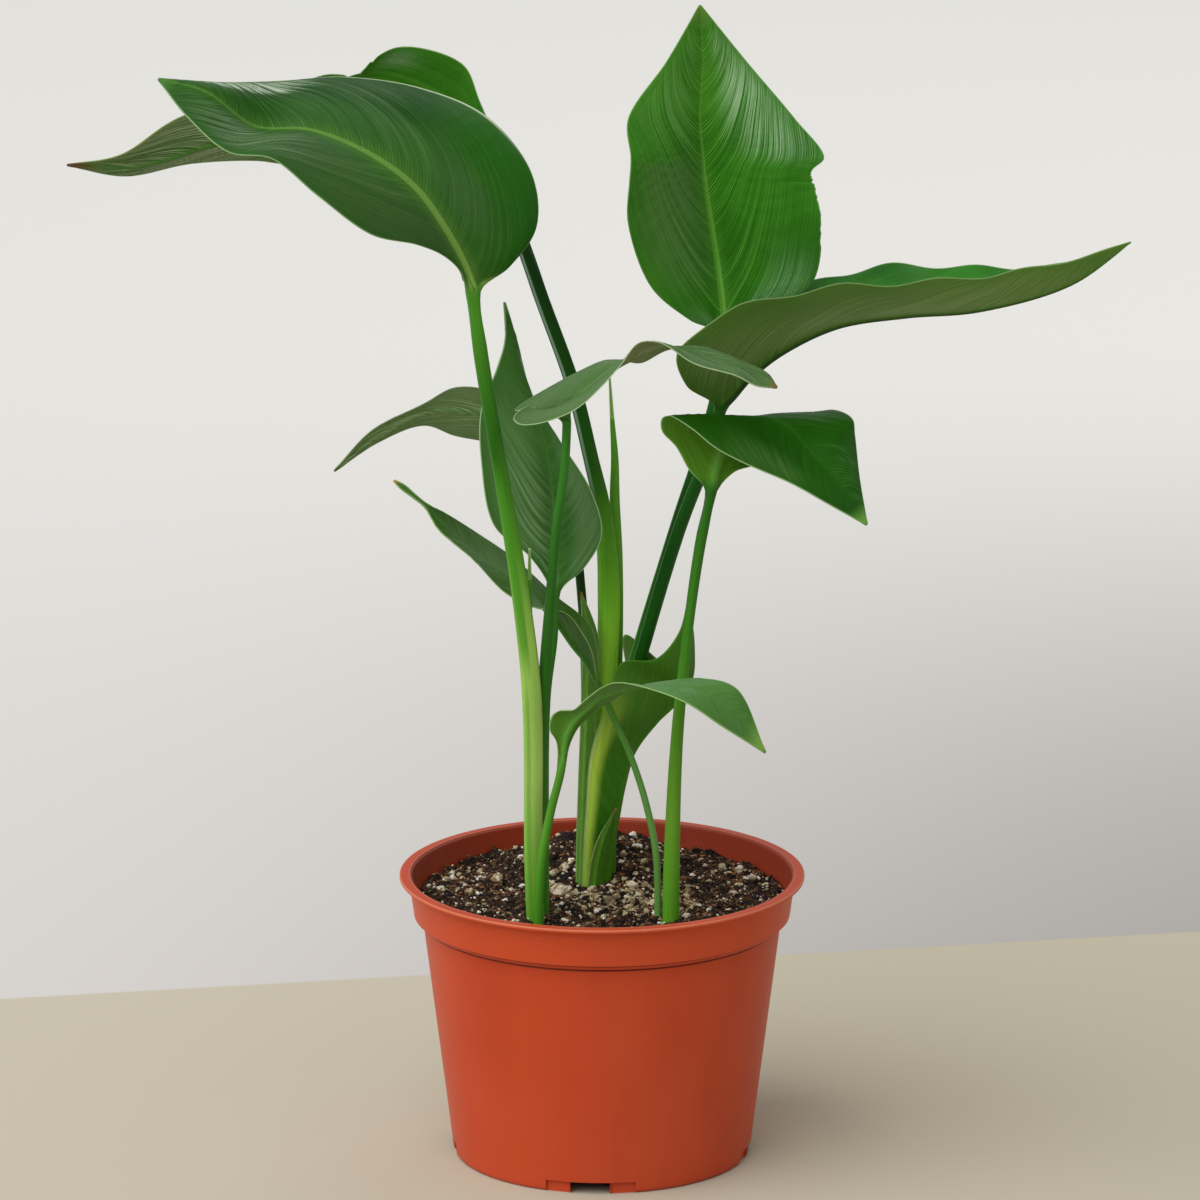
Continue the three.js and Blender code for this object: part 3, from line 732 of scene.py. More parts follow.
@dataclass
class LeafLoft:
    """Builds the fine mesh of a leaf form."""

    form: LeafForm
    stalk_steps: int = 6
    blade_steps: int = 13
    column_gap: float = 1.5
    spare_columns: int = 7
    least_columns: int = 9
    most_columns: int = 26
    half_blade: float = 0.26
    rib_at_blade: float = 0.85
    rib_taper: float = 0.75
    rib_at_tip: float = 0.3
    half_tip: float = 0.45
    rib_columns: float = 4.0
    opening: float = 2.5
    rib_flare: float = 1.35
    rib_over: float = 0.1
    rib_under: float = 0.95
    pleats: tuple[Point, ...] = ((1.03, 1.0, 0.0), (0.71, 0.7, 1.3), (1.67, 0.8, 0.6))

    def rows(self) -> tuple[np.ndarray, np.ndarray, np.ndarray, np.ndarray]:
        """What the form's points say, on the stalk too.

        Returns:
            Rib, left edge, right edge and rib half width of each row.
        """
        form = self.form
        stalk = np.array([row[:3] for row in form.stalk]).reshape(-1, 3)
        middle = np.array([row[0] for row in form.blade]).reshape(-1, 3)
        ribs = np.vstack([stalk, middle, [form.tip]]).astype(float)
        first = np.array(form.blade[0]) if form.blade else np.array([[0, 0, 0], [0, 0, 0], [1, 0, 0]])
        across = unit((first[2] - first[1]).astype(float))
        lefts: list[np.ndarray] = []
        rights: list[np.ndarray] = []
        halves = [row[3] for row in form.stalk]
        for i in range(len(stalk) - 1, -1, -1):
            along = unit(ribs[i + 1] - ribs[max(i - 1, 0)])
            across = unit(across - along * across.dot(along))
            lefts.insert(0, ribs[i] - across * halves[i])
            rights.insert(0, ribs[i] + across * halves[i])
        thick = halves[-1] if halves else form.keel
        for index, (_, left, right) in enumerate(form.blade):
            to_go = 1.0 - (index + 1) / (len(form.blade) + 1)
            lefts.append(np.array(left, float))
            rights.append(np.array(right, float))
            halves.append(thick * self.rib_at_blade * to_go ** self.rib_taper + self.rib_at_tip)
        span = unit(rights[-1] - lefts[-1]) * self.half_tip
        lefts.append(ribs[-1] - span)
        rights.append(ribs[-1] + span)
        halves.append(self.half_tip)
        return ribs, np.array(lefts), np.array(rights), np.array(halves)

    def times(self, spans: int) -> np.ndarray:
        """Curve times to sample, closer together on the blade.

        Args:
            spans: Number of spans of the curve.

        Returns:
            The times, from 0 to 1.
        """
        on_stalk = len(self.form.stalk) - 1
        times: list[float] = []
        for span in range(spans):
            steps = self.stalk_steps if span < on_stalk else self.blade_steps
            times += [(span + step / steps) / spans for step in range(steps)]
        return np.array([*times, 1.0])

    def _torn(self, edge: np.ndarray, rib: np.ndarray, blade: np.ndarray, side: Side) -> np.ndarray:
        """Pulls an edge in towards the rib at its tears and along its ragged stretch.

        Args:
            edge: The edge's points.
            rib: The rib's points.
            blade: Share of the blade at each.
            side: Which edge it is.

        Returns:
            The torn edge.
        """
        pull = np.zeros(len(blade))
        for tear in self.form.tears:
            if tear.side is side:
                pull += tear.depth * np.clip(1.0 - np.abs(blade - tear.at) / tear.width, 0.0, 1.0)
        start, end, depth = self.form.ragged
        if depth and side is Side.RIGHT:
            inside = smoothstep(blade, start - 0.02, start) * (1.0 - smoothstep(blade, end, end + 0.02))
            saw = np.abs(np.sin(blade * 160.0) * 0.6 + np.sin(blade * 97.0 + 1.0) * 0.4)
            pull += depth * saw * inside
        return edge + unit(rib - edge) * pull[:, None]

    def grid(self) -> dict[str, np.ndarray]:
        """The middle surface: places, normals and what the material reads.

        Returns:
            Arrays with a row for each step along the leaf and a column for each step across.
        """
        ribs, lefts, rights, halves = self.rows()
        spans = len(ribs) - 1
        times = self.times(spans)
        at = times * spans
        rib = Spline(ribs).at(times)
        stalk_rows = len(self.form.stalk)
        blade = np.clip((at - (stalk_rows - 1)) / (len(ribs) - stalk_rows), 0.0, 1.0)
        left = self._torn(Spline(lefts).at(times), rib, blade, Side.LEFT)
        right = self._torn(Spline(rights).at(times), rib, blade, Side.RIGHT)
        half = np.interp(at, np.arange(spans + 1), halves)
        arc = np.concatenate([[0.0], np.cumsum(np.linalg.norm(np.diff(rib, axis=0), axis=1))])
        up = unit(np.cross(right - left, unit(np.gradient(rib, axis=0))))
        widest = max(np.linalg.norm(left - rib, axis=1).max(), np.linalg.norm(right - rib, axis=1).max())
        wanted = widest / self.column_gap + self.spare_columns
        steps = int(np.clip(wanted, self.least_columns, self.most_columns))

        columns = np.arange(-steps, steps + 1)
        part = np.abs(columns) / steps
        is_right = columns > 0
        edge = np.where(is_right[None, :, None], right[:, None, :], left[:, None, :])
        middle = rib[:, None, :]
        width = np.maximum(np.linalg.norm(edge - middle, axis=2), 0.3)
        distance, opened = self._distances(part, width, half[:, None], self.rib_columns / steps)
        share = distance / width
        vein = arc[:, None] - self.form.lean * width * (0.4 * share + share ** 2)
        lift = self._lift(blade[:, None], arc[:, None], vein, width, share, is_right, opened)
        place = middle + (edge - middle) * share[..., None] + up[:, None, :] * lift[..., None]
        return {
            "place": place,
            "normal": unit(np.cross(np.gradient(place, axis=1), np.gradient(place, axis=0))),
            "distance": distance,
            "across": distance * np.sign(columns)[None, :],
            "share": share,
            "width": width,
            "half": np.broadcast_to(half[:, None], distance.shape),
            "blade": np.broadcast_to(blade[:, None], distance.shape),
            "arc": np.broadcast_to(arc[:, None], distance.shape),
            "vein": vein,
            "opened": opened,
        }

    def _distances(
        self, part: np.ndarray, width: np.ndarray, half: np.ndarray, inner: float
    ) -> tuple[np.ndarray, np.ndarray]:
        """How far from the rib each column lies, closer together on the rib.

        Args:
            part: Share of the columns from the rib.
            width: Distance from the rib to the edge.
            half: Half width of the rib.
            inner: Share of the columns that the rib takes.

        Returns:
            The distances, and how far the blade is open there, from 0 on the stalk to 1.
        """
        held = np.minimum(half, width)
        rib_edge = held * 1.15
        rest = 1.0 - (1.0 - np.clip((part - inner) / (1.0 - inner), 0.0, 1.0)) ** 1.35
        on_stalk = width * np.sin(part * math.pi / 2.0)
        on_blade = np.where(part <= inner, rib_edge * part / inner, rib_edge + (width - rib_edge) * rest)
        opened = smoothstep(width - held, 0.0, self.opening)
        return on_stalk * (1.0 - opened) + np.minimum(on_blade, width) * opened, opened

    def _lift(
        self, blade: np.ndarray, arc: np.ndarray, vein: np.ndarray, width: np.ndarray, share: np.ndarray,
        is_right: np.ndarray, opened: np.ndarray,
    ) -> np.ndarray:
        """How far the middle surface rises from the straight line to the edge.

        Args:
            blade: Share of the blade.
            arc: Length along the rib.
            vein: Where a point's vein leaves the rib.
            width: Distance from the rib to the edge.
            share: Distance from the rib as a share of the width.
            is_right: Which columns are on the right.
            opened: How far the blade is open.

        Returns:
            The sum of the crown, the waves and the pleats.
        """
        form = self.form
        cup = np.where(is_right, form.cup[1], form.cup[0])[None, :]
        open_blade = np.minimum(blade * 6.0, 1.0)
        crown = cup * width * 4.0 * share * (1.0 - share) * open_blade
        phase = 2.0 * math.pi * arc / form.wave_length + np.where(is_right, 1.9, 0.0)
        ripple = form.wave * np.sin(math.pi * blade) ** 0.7 * share ** 1.5 * np.sin(phase)
        pleats = sum(high * np.sin(vein / long + start) for long, high, start in self.pleats)
        window = smoothstep(share, 0.05, 0.3) * (1.0 - smoothstep(share, 0.9, 1.0))
        window = window * (open_blade * opened) * (1.0 - smoothstep(blade, 0.9, 1.0))
        return crown + ripple + form.pleat * 0.4 * pleats * window

    def thickness(self, grid: dict[str, np.ndarray]) -> tuple[np.ndarray, np.ndarray]:
        """How thick the leaf is.

        Args:
            grid: The middle surface.

        Returns:
            How far the upper and the under face lie from the middle surface.
        """
        blade = grid["blade"]
        opened = grid["opened"]
        off_rib = grid["distance"] / grid["half"]
        flank = np.clip(1.0 - off_rib ** 2, 0.0, 1.0)
        spread = np.clip(1.0 - (off_rib / self.rib_flare) ** 2, 0.0, 1.0)
        profile = np.sqrt(flank) * (1.0 - opened) + spread ** 1.5 * opened
        profile = profile * grid["half"] * (1.0 - smoothstep(blade, 0.97, 1.0))
        on_stalk = 1.0 - np.clip(blade * 8.0, 0.0, 1.0)
        rounded = np.sqrt(np.clip(1.0 - grid["share"] ** 24, 0.04, 1.0))
        skin = self.half_blade * np.where(opened > 0.5, rounded, 1.0)
        upper = skin + profile * (self.rib_over + 0.4 * on_stalk)
        under = skin + profile * self.rib_under * (1.0 - 0.35 * blade)
        return upper, under

    def build(self) -> bpy.types.Object:
        """Makes the closed mesh, with the attributes that its material reads.

        Returns:
            The leaf's object.
        """
        grid = self.grid()
        upper, under = self.thickness(grid)
        top = grid["place"] + grid["normal"] * upper[..., None]
        low = grid["place"] - grid["normal"] * under[..., None]
        ring = np.concatenate([top, low[:, ::-1]], axis=1)
        count, around = ring.shape[:2]
        index = np.arange(count * around).reshape(count, around)
        after = np.roll(index, -1, axis=1)
        quads = np.stack([index[:-1], after[:-1], after[1:], index[1:]], axis=-1).reshape(-1, 4)
        faces = [tuple(quad) for quad in quads]
        faces += self._cap(index[0], True) + self._cap(index[-1], False)
        name = self.form.node + "_fine"
        mesh = bpy.data.meshes.new(name)
        mesh.from_pydata(ring.reshape(-1, 3) * MM, [], faces)
        mesh.shade_smooth()

        def both(key: str) -> np.ndarray:
            """Values of the upper face and then of the under face, round the ring."""
            return np.concatenate([grid[key], grid[key][:, ::-1]], axis=1)

        face = np.concatenate([np.ones_like(upper), -np.ones_like(upper)], axis=1)
        self._write(mesh, "leaf_place", both("across"), both("arc"), face)
        self._write(mesh, "leaf_part", both("share"), both("blade"), both("width"))
        self._write(mesh, "leaf_vein", both("vein"), both("half"), ring[..., 2])
        mesh.materials.append(self.form.finish.material(self.form.node))
        return stand(name, mesh)

    @staticmethod
    def _cap(ring: np.ndarray, start: bool) -> list[tuple[int, ...]]:
        """Closes a flat end of the leaf.

        Args:
            ring: Point numbers round the end.
            start: Whether it is the first end.

        Returns:
            Quads from the upper edge to the under edge.
        """
        half = len(ring) // 2
        upper = ring[:half]
        under = ring[half:][::-1]
        quads = [(upper[i], under[i], under[i + 1], upper[i + 1]) for i in range(half - 1)]
        return [tuple(map(int, quad if start else quad[::-1])) for quad in quads]

    @staticmethod
    def _write(mesh: bpy.types.Mesh, name: str, *parts: np.ndarray) -> None:
        """Stores a vector attribute on the points.

        Args:
            mesh: The leaf's mesh.
            name: The attribute's name.
            *parts: Its three parts.
        """
        layer = mesh.attributes.new(name, "FLOAT_VECTOR", "POINT")
        values = np.stack([part.reshape(-1) for part in parts], axis=1).astype(np.float32)
        layer.data.foreach_set("vector", values.reshape(-1))


LEFT, BOTH, RIGHT = Side.LEFT, Side.BOTH, Side.RIGHT
UPPER_LEFT = LeafForm(
    node="leaf_upper_left",
    finish=LeafFinish(
        upper="265a16", upper_light="3a7022", under="3f6a28",
        rib="84b050", rib_fade=0.8, margin="9cc088", tip="4a7a34",
        stalk=(
            (90.0, "4f9e1c"), (125.0, "84bc44"), (165.0, "b4d870"), (215.0, "a0cc5a"),
            (255.0, "5a9c2a"), (300.0, "2c6a14"), (350.0, "4f962a"),
        ),
        patches=(
            Patch(RIGHT, (0.1, 0.62), (0.55, 1.0), "1c6406", 0.85, streaky=0.1, feather=0.2),
            # Painted shade: darkens the right half where it catches the light.
            Patch(RIGHT, (0.48, 1.0), (0.1, 1.0), "1c4c0e", 0.75, 0.1, 0.2, 0.1),
            # Painted grey sheen.
            Patch(RIGHT, (0.5, 0.72), (0.12, 0.62), "5c7c54", 0.3, 0.09, 0.2, 0.5),
            # Painted grey sheen.
            Patch(RIGHT, (0.3, 0.46), (0.12, 0.4), "4c6a44", 0.6, 0.08, 0.15, 0.4),
            # Painted shade over the upper right half.
            Patch(RIGHT, (0.5, 0.86), (0.45, 1.0), "0a3e04", 0.85, streaky=0.2),
            # Painted sheen streaks.
            Patch(RIGHT, (0.6, 0.92), (0.45, 0.95), "a4c09c", 0.12, streaky=1.0),
            # Painted highlight streaks near the margin.
            Patch(RIGHT, (0.74, 0.92), (0.62, 0.94), "dfeed6", 0.9, 0.04, 0.08, 1.0),
            Patch(RIGHT, (0.0, 0.07), (0.4, 1.0), "a8d070", 0.8, 0.03, 0.1, 0.2),
            Patch(LEFT, (0.2, 0.7), (0.15, 1.0), "3f5c30", 0.7, 0.1, 0.2, 0.3),
            # Painted shade in a fold near the tip.
            Patch(LEFT, (0.62, 0.95), (0.1, 1.0), "244a18", 0.6, 0.06, 0.15, 0.1),
            # Painted grey sheen near the tip.
            Patch(LEFT, (0.66, 0.9), (0.2, 0.85), "8ba083", 0.5, 0.06, 0.15, 1.0),
            Patch(RIGHT, (120.0, 232.0), (0.8, 1.0), "8a6a4c", 0.5, 8.0, on_stalk=True),
            Patch(LEFT, (100.0, 200.0), (0.6, 1.0), "5a9c2c", 0.6, 10.0, on_stalk=True),
            Patch(LEFT, (210.0, 285.0), (0.2, 1.0), "4a9424", 0.8, 10.0, on_stalk=True),
            # Painted highlight along the right margin.
            Patch(RIGHT, (0.4, 0.97), (0.975, 1.0), "e4efd0", 0.9, 0.05, 0.015, 0.0),
        ),
        seed=1.3,
        grain=0.65,
    ),
    cup=(0.05, 0.12),
    lean=1.7,
    stalk=(
        (-24.5, -37, 78, 3.5), (-26.5, -37, 122, 3.6), (-27, -39, 195, 3.9), (-31, -41, 235, 3.5),
        (-39, -44, 288, 2.9), (-46, -47, 332, 2.8), (-49, -50, 358, 2.9),
    ),
    blade=(
        ((-51, -52, 365), (-54, -56, 368), (-35, -46, 368)),
        ((-54, -54, 373), (-60, -61, 375), (-25, -40, 382)),
        ((-60, -57, 385), (-70, -69, 381), (-27, -34, 402)),
        ((-71, -59, 401), (-87, -79, 387), (-44, -30, 423)),
        ((-88, -60, 414), (-107, -84, 403), (-69, -30, 434)),
        ((-110, -60, 423), (-124, -84, 417), (-98, -34, 439)),
        ((-131, -62, 425), (-140, -82, 419), (-122, -42, 439)),
        ((-149, -66, 439), (-156, -74, 431), (-146, -56, 441)),
    ),
    tip=(-167, -66, 444),
)
UPPER_BACK = LeafForm(
    node="leaf_upper_back",
    finish=LeafFinish(
        upper="307416", upper_light="4a9a28", under="388a14",
        under_light="58aa28", rib_under="4f7a30", tip="6a5030", stripes=0.5,
        stalk=(
            (90.0, "70b42a"), (140.0, "a0dc40"), (190.0, "a0dc40"), (220.0, "7cc630"), (245.0, "5ea428"),
            (262.0, "3f7a1c"), (285.0, "1f5a10"), (350.0, "143f10"),
        ),
        patches=(
            # Painted silvery sheen on the lobe.
            Patch(LEFT, (0.36, 0.45), (0.7, 0.92), "a4c4a0", 0.7, 0.04, 0.1, 0.5),
            Patch(BOTH, (0.68, 1.0), (0.0, 1.0), "4a5c2c", 0.7, 0.08, streaky=0.2),
            # Painted sheen streaks near the tip.
            Patch(BOTH, (0.72, 0.97), (0.1, 1.0), "dce0c8", 0.9, 0.14, streaky=1.0),
            Patch(LEFT, (0.84, 1.0), (0.93, 1.0), "c8a878", 0.8, 0.05, 0.05, 0.2),
            # Painted highlight along the middle of the stalk.
            Patch(BOTH, (266.0, 372.0), (0.0, 0.22), "8fb59a", 0.75, 10.0, on_stalk=True),
        ),
        seed=4.1,
        grain=2.0,
    ),
    lean=3.0,
    tears=(
        Tear(LEFT, 0.5, 0.014, 2.2), Tear(LEFT, 0.535, 0.01, 1.4),
        Tear(LEFT, 0.565, 0.014, 2.4), Tear(LEFT, 0.61, 0.012, 1.3),
    ),
    stalk=(
        (-3.5, 27, 78, 4.0), (-2, 26.5, 116, 4.2), (1.4, 25, 170, 4.5), (3, 23, 223, 4.7),
        (0.5, 21, 256, 3.6), (-4, 19.5, 277, 3.2), (-11, 17, 307, 3.1), (-23, 14, 342, 3.0),
        (-33, 12, 371, 3.0),
    ),
    blade=(
        ((-42, 12, 388), (-37, 3, 397), (-48, 18, 382)),
        ((-53, 12, 403), (-47, -4, 424), (-63, 26, 383)),
        ((-62, 11.5, 408.5), (-53, -7, 438.5), (-74, 29.5, 384.5)),
        ((-74, 11, 413), (-67, -8, 445), (-90, 33, 387)),
        ((-88, 10.5, 415), (-79, -7, 445.5), (-101, 34, 389)),
        ((-100, 10, 415), (-87.5, -6.5, 441), (-112, 33.5, 391)),
        ((-108, 10, 414.5), (-93.5, -6, 435.2), (-119, 33, 391.5)),
        ((-117, 10, 413), (-106, -5, 434.6), (-126, 32, 392.5)),
        ((-127, 10, 410.5), (-117, -4.5, 431), (-135, 30, 394)),
        ((-154, 10, 403), (-163, 0, 417), (-160, 24, 394)),
        ((-179, 8, 396), (-186, 2, 402), (-185, 14, 391)),
    ),
    tip=(-207, 6, 397),
)
TOP_RIGHT = LeafForm(
    node="leaf_top_right",
    finish=LeafFinish(
        upper="2c7010", upper_light="4a9624", rib="6aa83c", rib_fade=0.6,
        margin="7fae60",
        stalk=((90.0, "4f9a24"), (200.0, "2f7a1c"), (260.0, "1c5614"), (320.0, "2a6a20")),
        patches=(
            Patch(LEFT, (0.2, 0.6), (0.1, 0.85), "5a7c44", 0.75, 0.1, 0.25, 0.3),
            Patch(LEFT, (0.25, 0.7), (0.1, 0.4), "6c8c5c", 0.4, 0.1, 0.2, 0.9),
            Patch(BOTH, (0.78, 1.0), (0.0, 1.0), "569a2c", 0.5, 0.08, 0.2, 0.3),
            # Painted pale sheen on the upper right.
            Patch(RIGHT, (0.68, 0.93), (0.34, 0.95), "b4d0b0", 0.8, 0.09, 0.2, 1.0),
            Patch(RIGHT, (0.25, 0.62), (0.3, 1.0), "246c06", 0.5, 0.1, 0.2, 0.2),
            # Painted glint on a fold at the base of the left half.
            Patch(LEFT, (0.0, 0.12), (0.5, 1.0), "8ab87a", 0.6, 0.04, 0.15, 0.5),
            Patch(LEFT, (0.72, 0.95), (0.1, 0.9), "6f9a68", 0.35, 0.1, 0.25, 1.0),
            # Painted sheen streaks at the base of the right half.
            Patch(RIGHT, (0.04, 0.26), (0.6, 1.0), "9cc294", 0.85, 0.06, 0.18, 0.9),
        ),
        seed=2.2,
        grain=1.15,
    ),
    cup=(0.06, 0.06),
    lean=2.0,
    tears=(Tear(RIGHT, 0.47, 0.015, 1.0),),
    ragged=(0.3, 0.54, 0.6),
    stalk=(
        (-5, 42, 78, 2.7), (0, 44, 131, 2.7), (10, 42, 177, 2.7), (29, 37, 244, 2.6),
        (44, 34, 294, 2.6), (48, 31, 324, 2.6),
    ),
    blade=(
        ((47, 32, 338), (34, 24, 332), (64, 26, 335)),
        ((45, 35, 354), (19, 20, 346), (82, 20, 347.5)),
        ((42, 36, 373), (10, 18, 372), (85.5, 18, 371)),
        ((40, 36, 386), (10.5, 18, 387.5), (83, 19.5, 386)),
        ((39.5, 36, 392), (11, 18, 394), (81.6, 20, 392)),
        ((39, 36, 397), (11, 18.5, 398.5), (86.3, 20, 397.2)),
        ((38, 35, 411), (10, 22, 412), (75, 23.5, 412)),
        ((39, 32, 433), (25, 27, 434), (56, 28, 434)),
    ),
    tip=(38, 27, 456),
)
LONG_RIGHT = LeafForm(
    node="leaf_long_right",
    finish=LeafFinish(
        under="4c7c1c", under_light="6a8f4a", rib_under="24481a",
        stripes=0.35, margin="8fae74",
        stalk=((90.0, "4f9a24"), (180.0, "2f7a20"), (240.0, "1a5618"), (300.0, "2a641c")),
        patches=(
            Patch(BOTH, (0.0, 0.26), (0.0, 1.0), "44741c", 0.7, 0.1, streaky=0.2),
            # Painted silvery sheen over the right half.
            Patch(RIGHT, (0.2, 0.9), (0.1, 0.9), "9cb07c", 0.42, 0.1, 0.2, 0.7),
            Patch(RIGHT, (0.3, 0.7), (0.6, 1.0), "3f6a1c", 0.5, 0.1, 0.2, 0.3),
            Patch(RIGHT, (0.02, 0.9), (0.0, 0.04), "1c3a10", 0.8, 0.05, 0.04, 0.0),
        ),
        seed=6.5,
        grain=0.5,
    ),
    cup=(-0.05, -0.06),
    lean=1.5,
    wave=1.3,
    wave_length=34.0,
    stalk=(
        (-2, 35, 78, 2.7), (-2, 38, 129, 2.8), (10, 35, 175, 2.9), (30, 23, 248, 2.9),
        (43, 13, 286, 2.9), (46, 10, 300, 2.9),
    ),
    blade=(
        ((51, 9, 306), (52, 22, 308), (33, -6, 312)),
        ((57, 8, 313), (57, 34, 320), (29, -16, 329)),
        ((69, 6, 323), (68, 42, 334), (48, -24, 345)),
        ((91, 4, 334), (90, 44, 345), (76, -26, 354)),
        ((118, 0, 339), (116, 42, 350), (107, -26, 357)),
        ((146, -4, 342), (144, 34, 351), (137, -26, 359)),
        ((181, -8, 353), (177, 14, 356), (173, -18, 363)),
    ),
    tip=(204, -10, 370),
)
MID_RIGHT = LeafForm(
    node="leaf_mid_right",
    finish=LeafFinish(
        upper="174c05", upper_light="235c0a", under="4f8418",
        under_light="5f9630", rib="2f7018", rib_under="5c9a34", rib_fade=0.9, tip="6aa040",
        margin="a9cc90",
        stalk=(
            (90.0, "5aa224"), (150.0, "64982a"), (190.0, "4f8a20"), (230.0, "3a7a1c"),
            (275.0, "2c6a18"),
        ),
        patches=(
            # Painted highlight streaks near the tip.
            Patch(LEFT, (0.84, 0.97), (0.1, 0.9), "5f8c54", 0.3, 0.06, 0.2, 1.0),
            # Painted highlight streak on the left half.
            Patch(LEFT, (0.42, 0.56), (0.6, 0.9), "7fa478", 0.4, 0.05, 0.12, 1.0),
            Patch(RIGHT, (0.6, 0.8), (0.6, 1.0), "6a8f4c", 0.4, 0.08, 0.2, 0.8),
        ),
        seed=8.7,
        grain=0.1,
    ),
    cup=(0.05, 0.03),
    stalk=(
        (27, -33, 78, 3.4), (27, -33, 121, 3.3), (29, -32, 176, 2.4), (33.4, -31, 222, 1.9),
        (38, -29, 255, 2.1), (42, -27, 275, 2.3),
    ),
    blade=(
        ((43.5, -27, 283), (51, -24, 282), (33.5, -30, 284.5)),
        ((46, -25, 291), (59, -18, 283.5), (28.5, -32, 294)),
        ((48.5, -23, 298), (67, -6, 287), (23, -35, 301)),
        ((52, -22, 301.5), (73, 0, 291), (23, -37.5, 306.5)),
        ((56, -21.5, 303), (77, 3, 293.5), (26, -40, 308)),
        ((62, -21, 303.5), (82, 4, 297), (34, -43.5, 304)),
        ((67, -22, 302), (86, 3, 299.5), (43, -45.5, 297)),
        ((74, -24.5, 298), (89.8, 0, 301.4), (54, -46, 291)),
        ((82, -29.5, 289), (97.2, -10, 300), (71, -46, 283.5)),
        ((86, -32, 285.5), (98, -14.5, 295), (76.5, -45.5, 280.5)),
        ((94, -36, 277), (99.5, -27, 281), (87, -44, 274)),
    ),
    tip=(102, -40, 265),
)
ARCHED = LeafForm(
    node="leaf_arched",
    finish=LeafFinish(
        upper="44682e", upper_light="5a7c48", under="7a8250",
        under_light="a2a47a", rib="6a8a50", tip="7a6a3a", stripes=0.8, rib_fade=0.8, margin="b9d0a0",
        stalk=((90.0, "4f9a24"), (150.0, "3f7f24"), (240.0, "2c6a1c"), (300.0, "3f8a2c")),
        patches=(
            # Painted grey-green sheen.
            Patch(BOTH, (0.1, 0.55), (0.3, 1.0), "7f9e70", 0.35, 0.12, 0.25, 0.3),
            # Painted shade near the rib at the blade's base.
            Patch(BOTH, (0.0, 0.45), (0.0, 0.45), "466e34", 0.55, 0.1, 0.25, 0.3),
            Patch(BOTH, (0.6, 0.95), (0.0, 1.0), "3c5a30", 0.35, 0.1, streaky=0.1),
            Patch(BOTH, (0.6, 0.95), (0.1, 0.9), "8caa80", 0.6, 0.1, streaky=1.0),
        ),
        seed=3.4,
        grain=0.5,
    ),
    lean=4.0,
    stalk=(
        (-23.5, -29, 78, 3.0), (-24, -30, 120, 3.0), (-23.5, -33, 193, 2.9), (-20.3, -36, 238, 2.3),
        (-18.3, -37, 262, 2.0), (-15, -38, 286, 2.0), (-14, -40, 305, 2.0),
    ),
    blade=(
        ((-14, -40, 309.5), (-29, -38.5, 310.5), (-29, -41.5, 312)),
        ((-13, -40, 311.5), (-33.5, -37, 309.5), (-34, -45, 308.5)),
        ((-11, -40, 313.5), (-31, -34, 311.5), (-31.5, -50, 307)),
        ((-8, -41, 316.5), (-22, -31, 316.5), (-23, -54, 308.5)),
        ((-2, -42, 322), (-7, -28, 324), (-10, -57, 314.5)),
        ((3, -43, 326.5), (1, -29, 327.5), (-1, -57, 322.5)),
        ((8, -44, 330), (8, -32, 328), (7, -54, 331)),
        ((15, -44, 333), (15, -36, 328), (14, -50, 339)),
        ((24, -43, 336), (25, -36, 333), (22, -50, 339)),
        ((37, -42, 333), (38, -34, 334), (35, -51, 331)),
        ((53, -42, 327.5), (54, -35, 328.5), (51, -50, 326)),
        ((61, -43, 323.5), (63.5, -38, 324.5), (59, -48, 321.5)),
    ),
    tip=(67, -44, 320),
)
UPRIGHT = LeafForm(
    node="leaf_upright",
    finish=LeafFinish(
        upper="2c5a1c", upper_light="44782e", tip="7a9450", margin="b2cf9c",
        rib="4a7a34", rib_fade=0.9,
        stalk=((90.0, "4f9a24"), (190.0, "3f8a24"), (230.0, "3a7420")),
        patches=(
            # Painted sheen on the left half.
            Patch(LEFT, (0.16, 0.66), (0.2, 0.9), "6f9a5e", 0.5, 0.12, 0.25, 0.3),
            # Painted sheen streaks on the left half.
            Patch(LEFT, (0.1, 0.5), (0.1, 0.7), "a0c490", 0.45, 0.1, 0.25, 1.0),
            Patch(RIGHT, (0.1, 0.6), (0.45, 1.0), "688c5a", 0.6, 0.1, 0.2, 0.2),
        ),
        seed=5.9,
        grain=0.25,
    ),
    stalk=(
        (-23.3, -22, 78, 2.6), (-23.3, -22, 117, 2.6), (-22.5, -20, 190, 2.4), (-19.5, -18, 214, 2.2),
        (-18.3, -13, 232, 2.2),
    ),
    blade=(
        ((-18, -11, 239), (-28, -15, 246), (-7, -13, 241)),
        ((-19, -8, 253), (-42, -13, 258), (0, -11, 254)),
        ((-20, -4, 270), (-47, -11, 283), (-4, -6, 270)),
        ((-23, -1, 290), (-47, -6, 303), (-16, 2, 288)),
        ((-29, 3, 311), (-41, 0, 318), (-28, 7, 307)),
        ((-35, 7, 328), (-38, 5, 328), (-33, 9, 327)),
    ),
    tip=(-38, 10, 342),
)
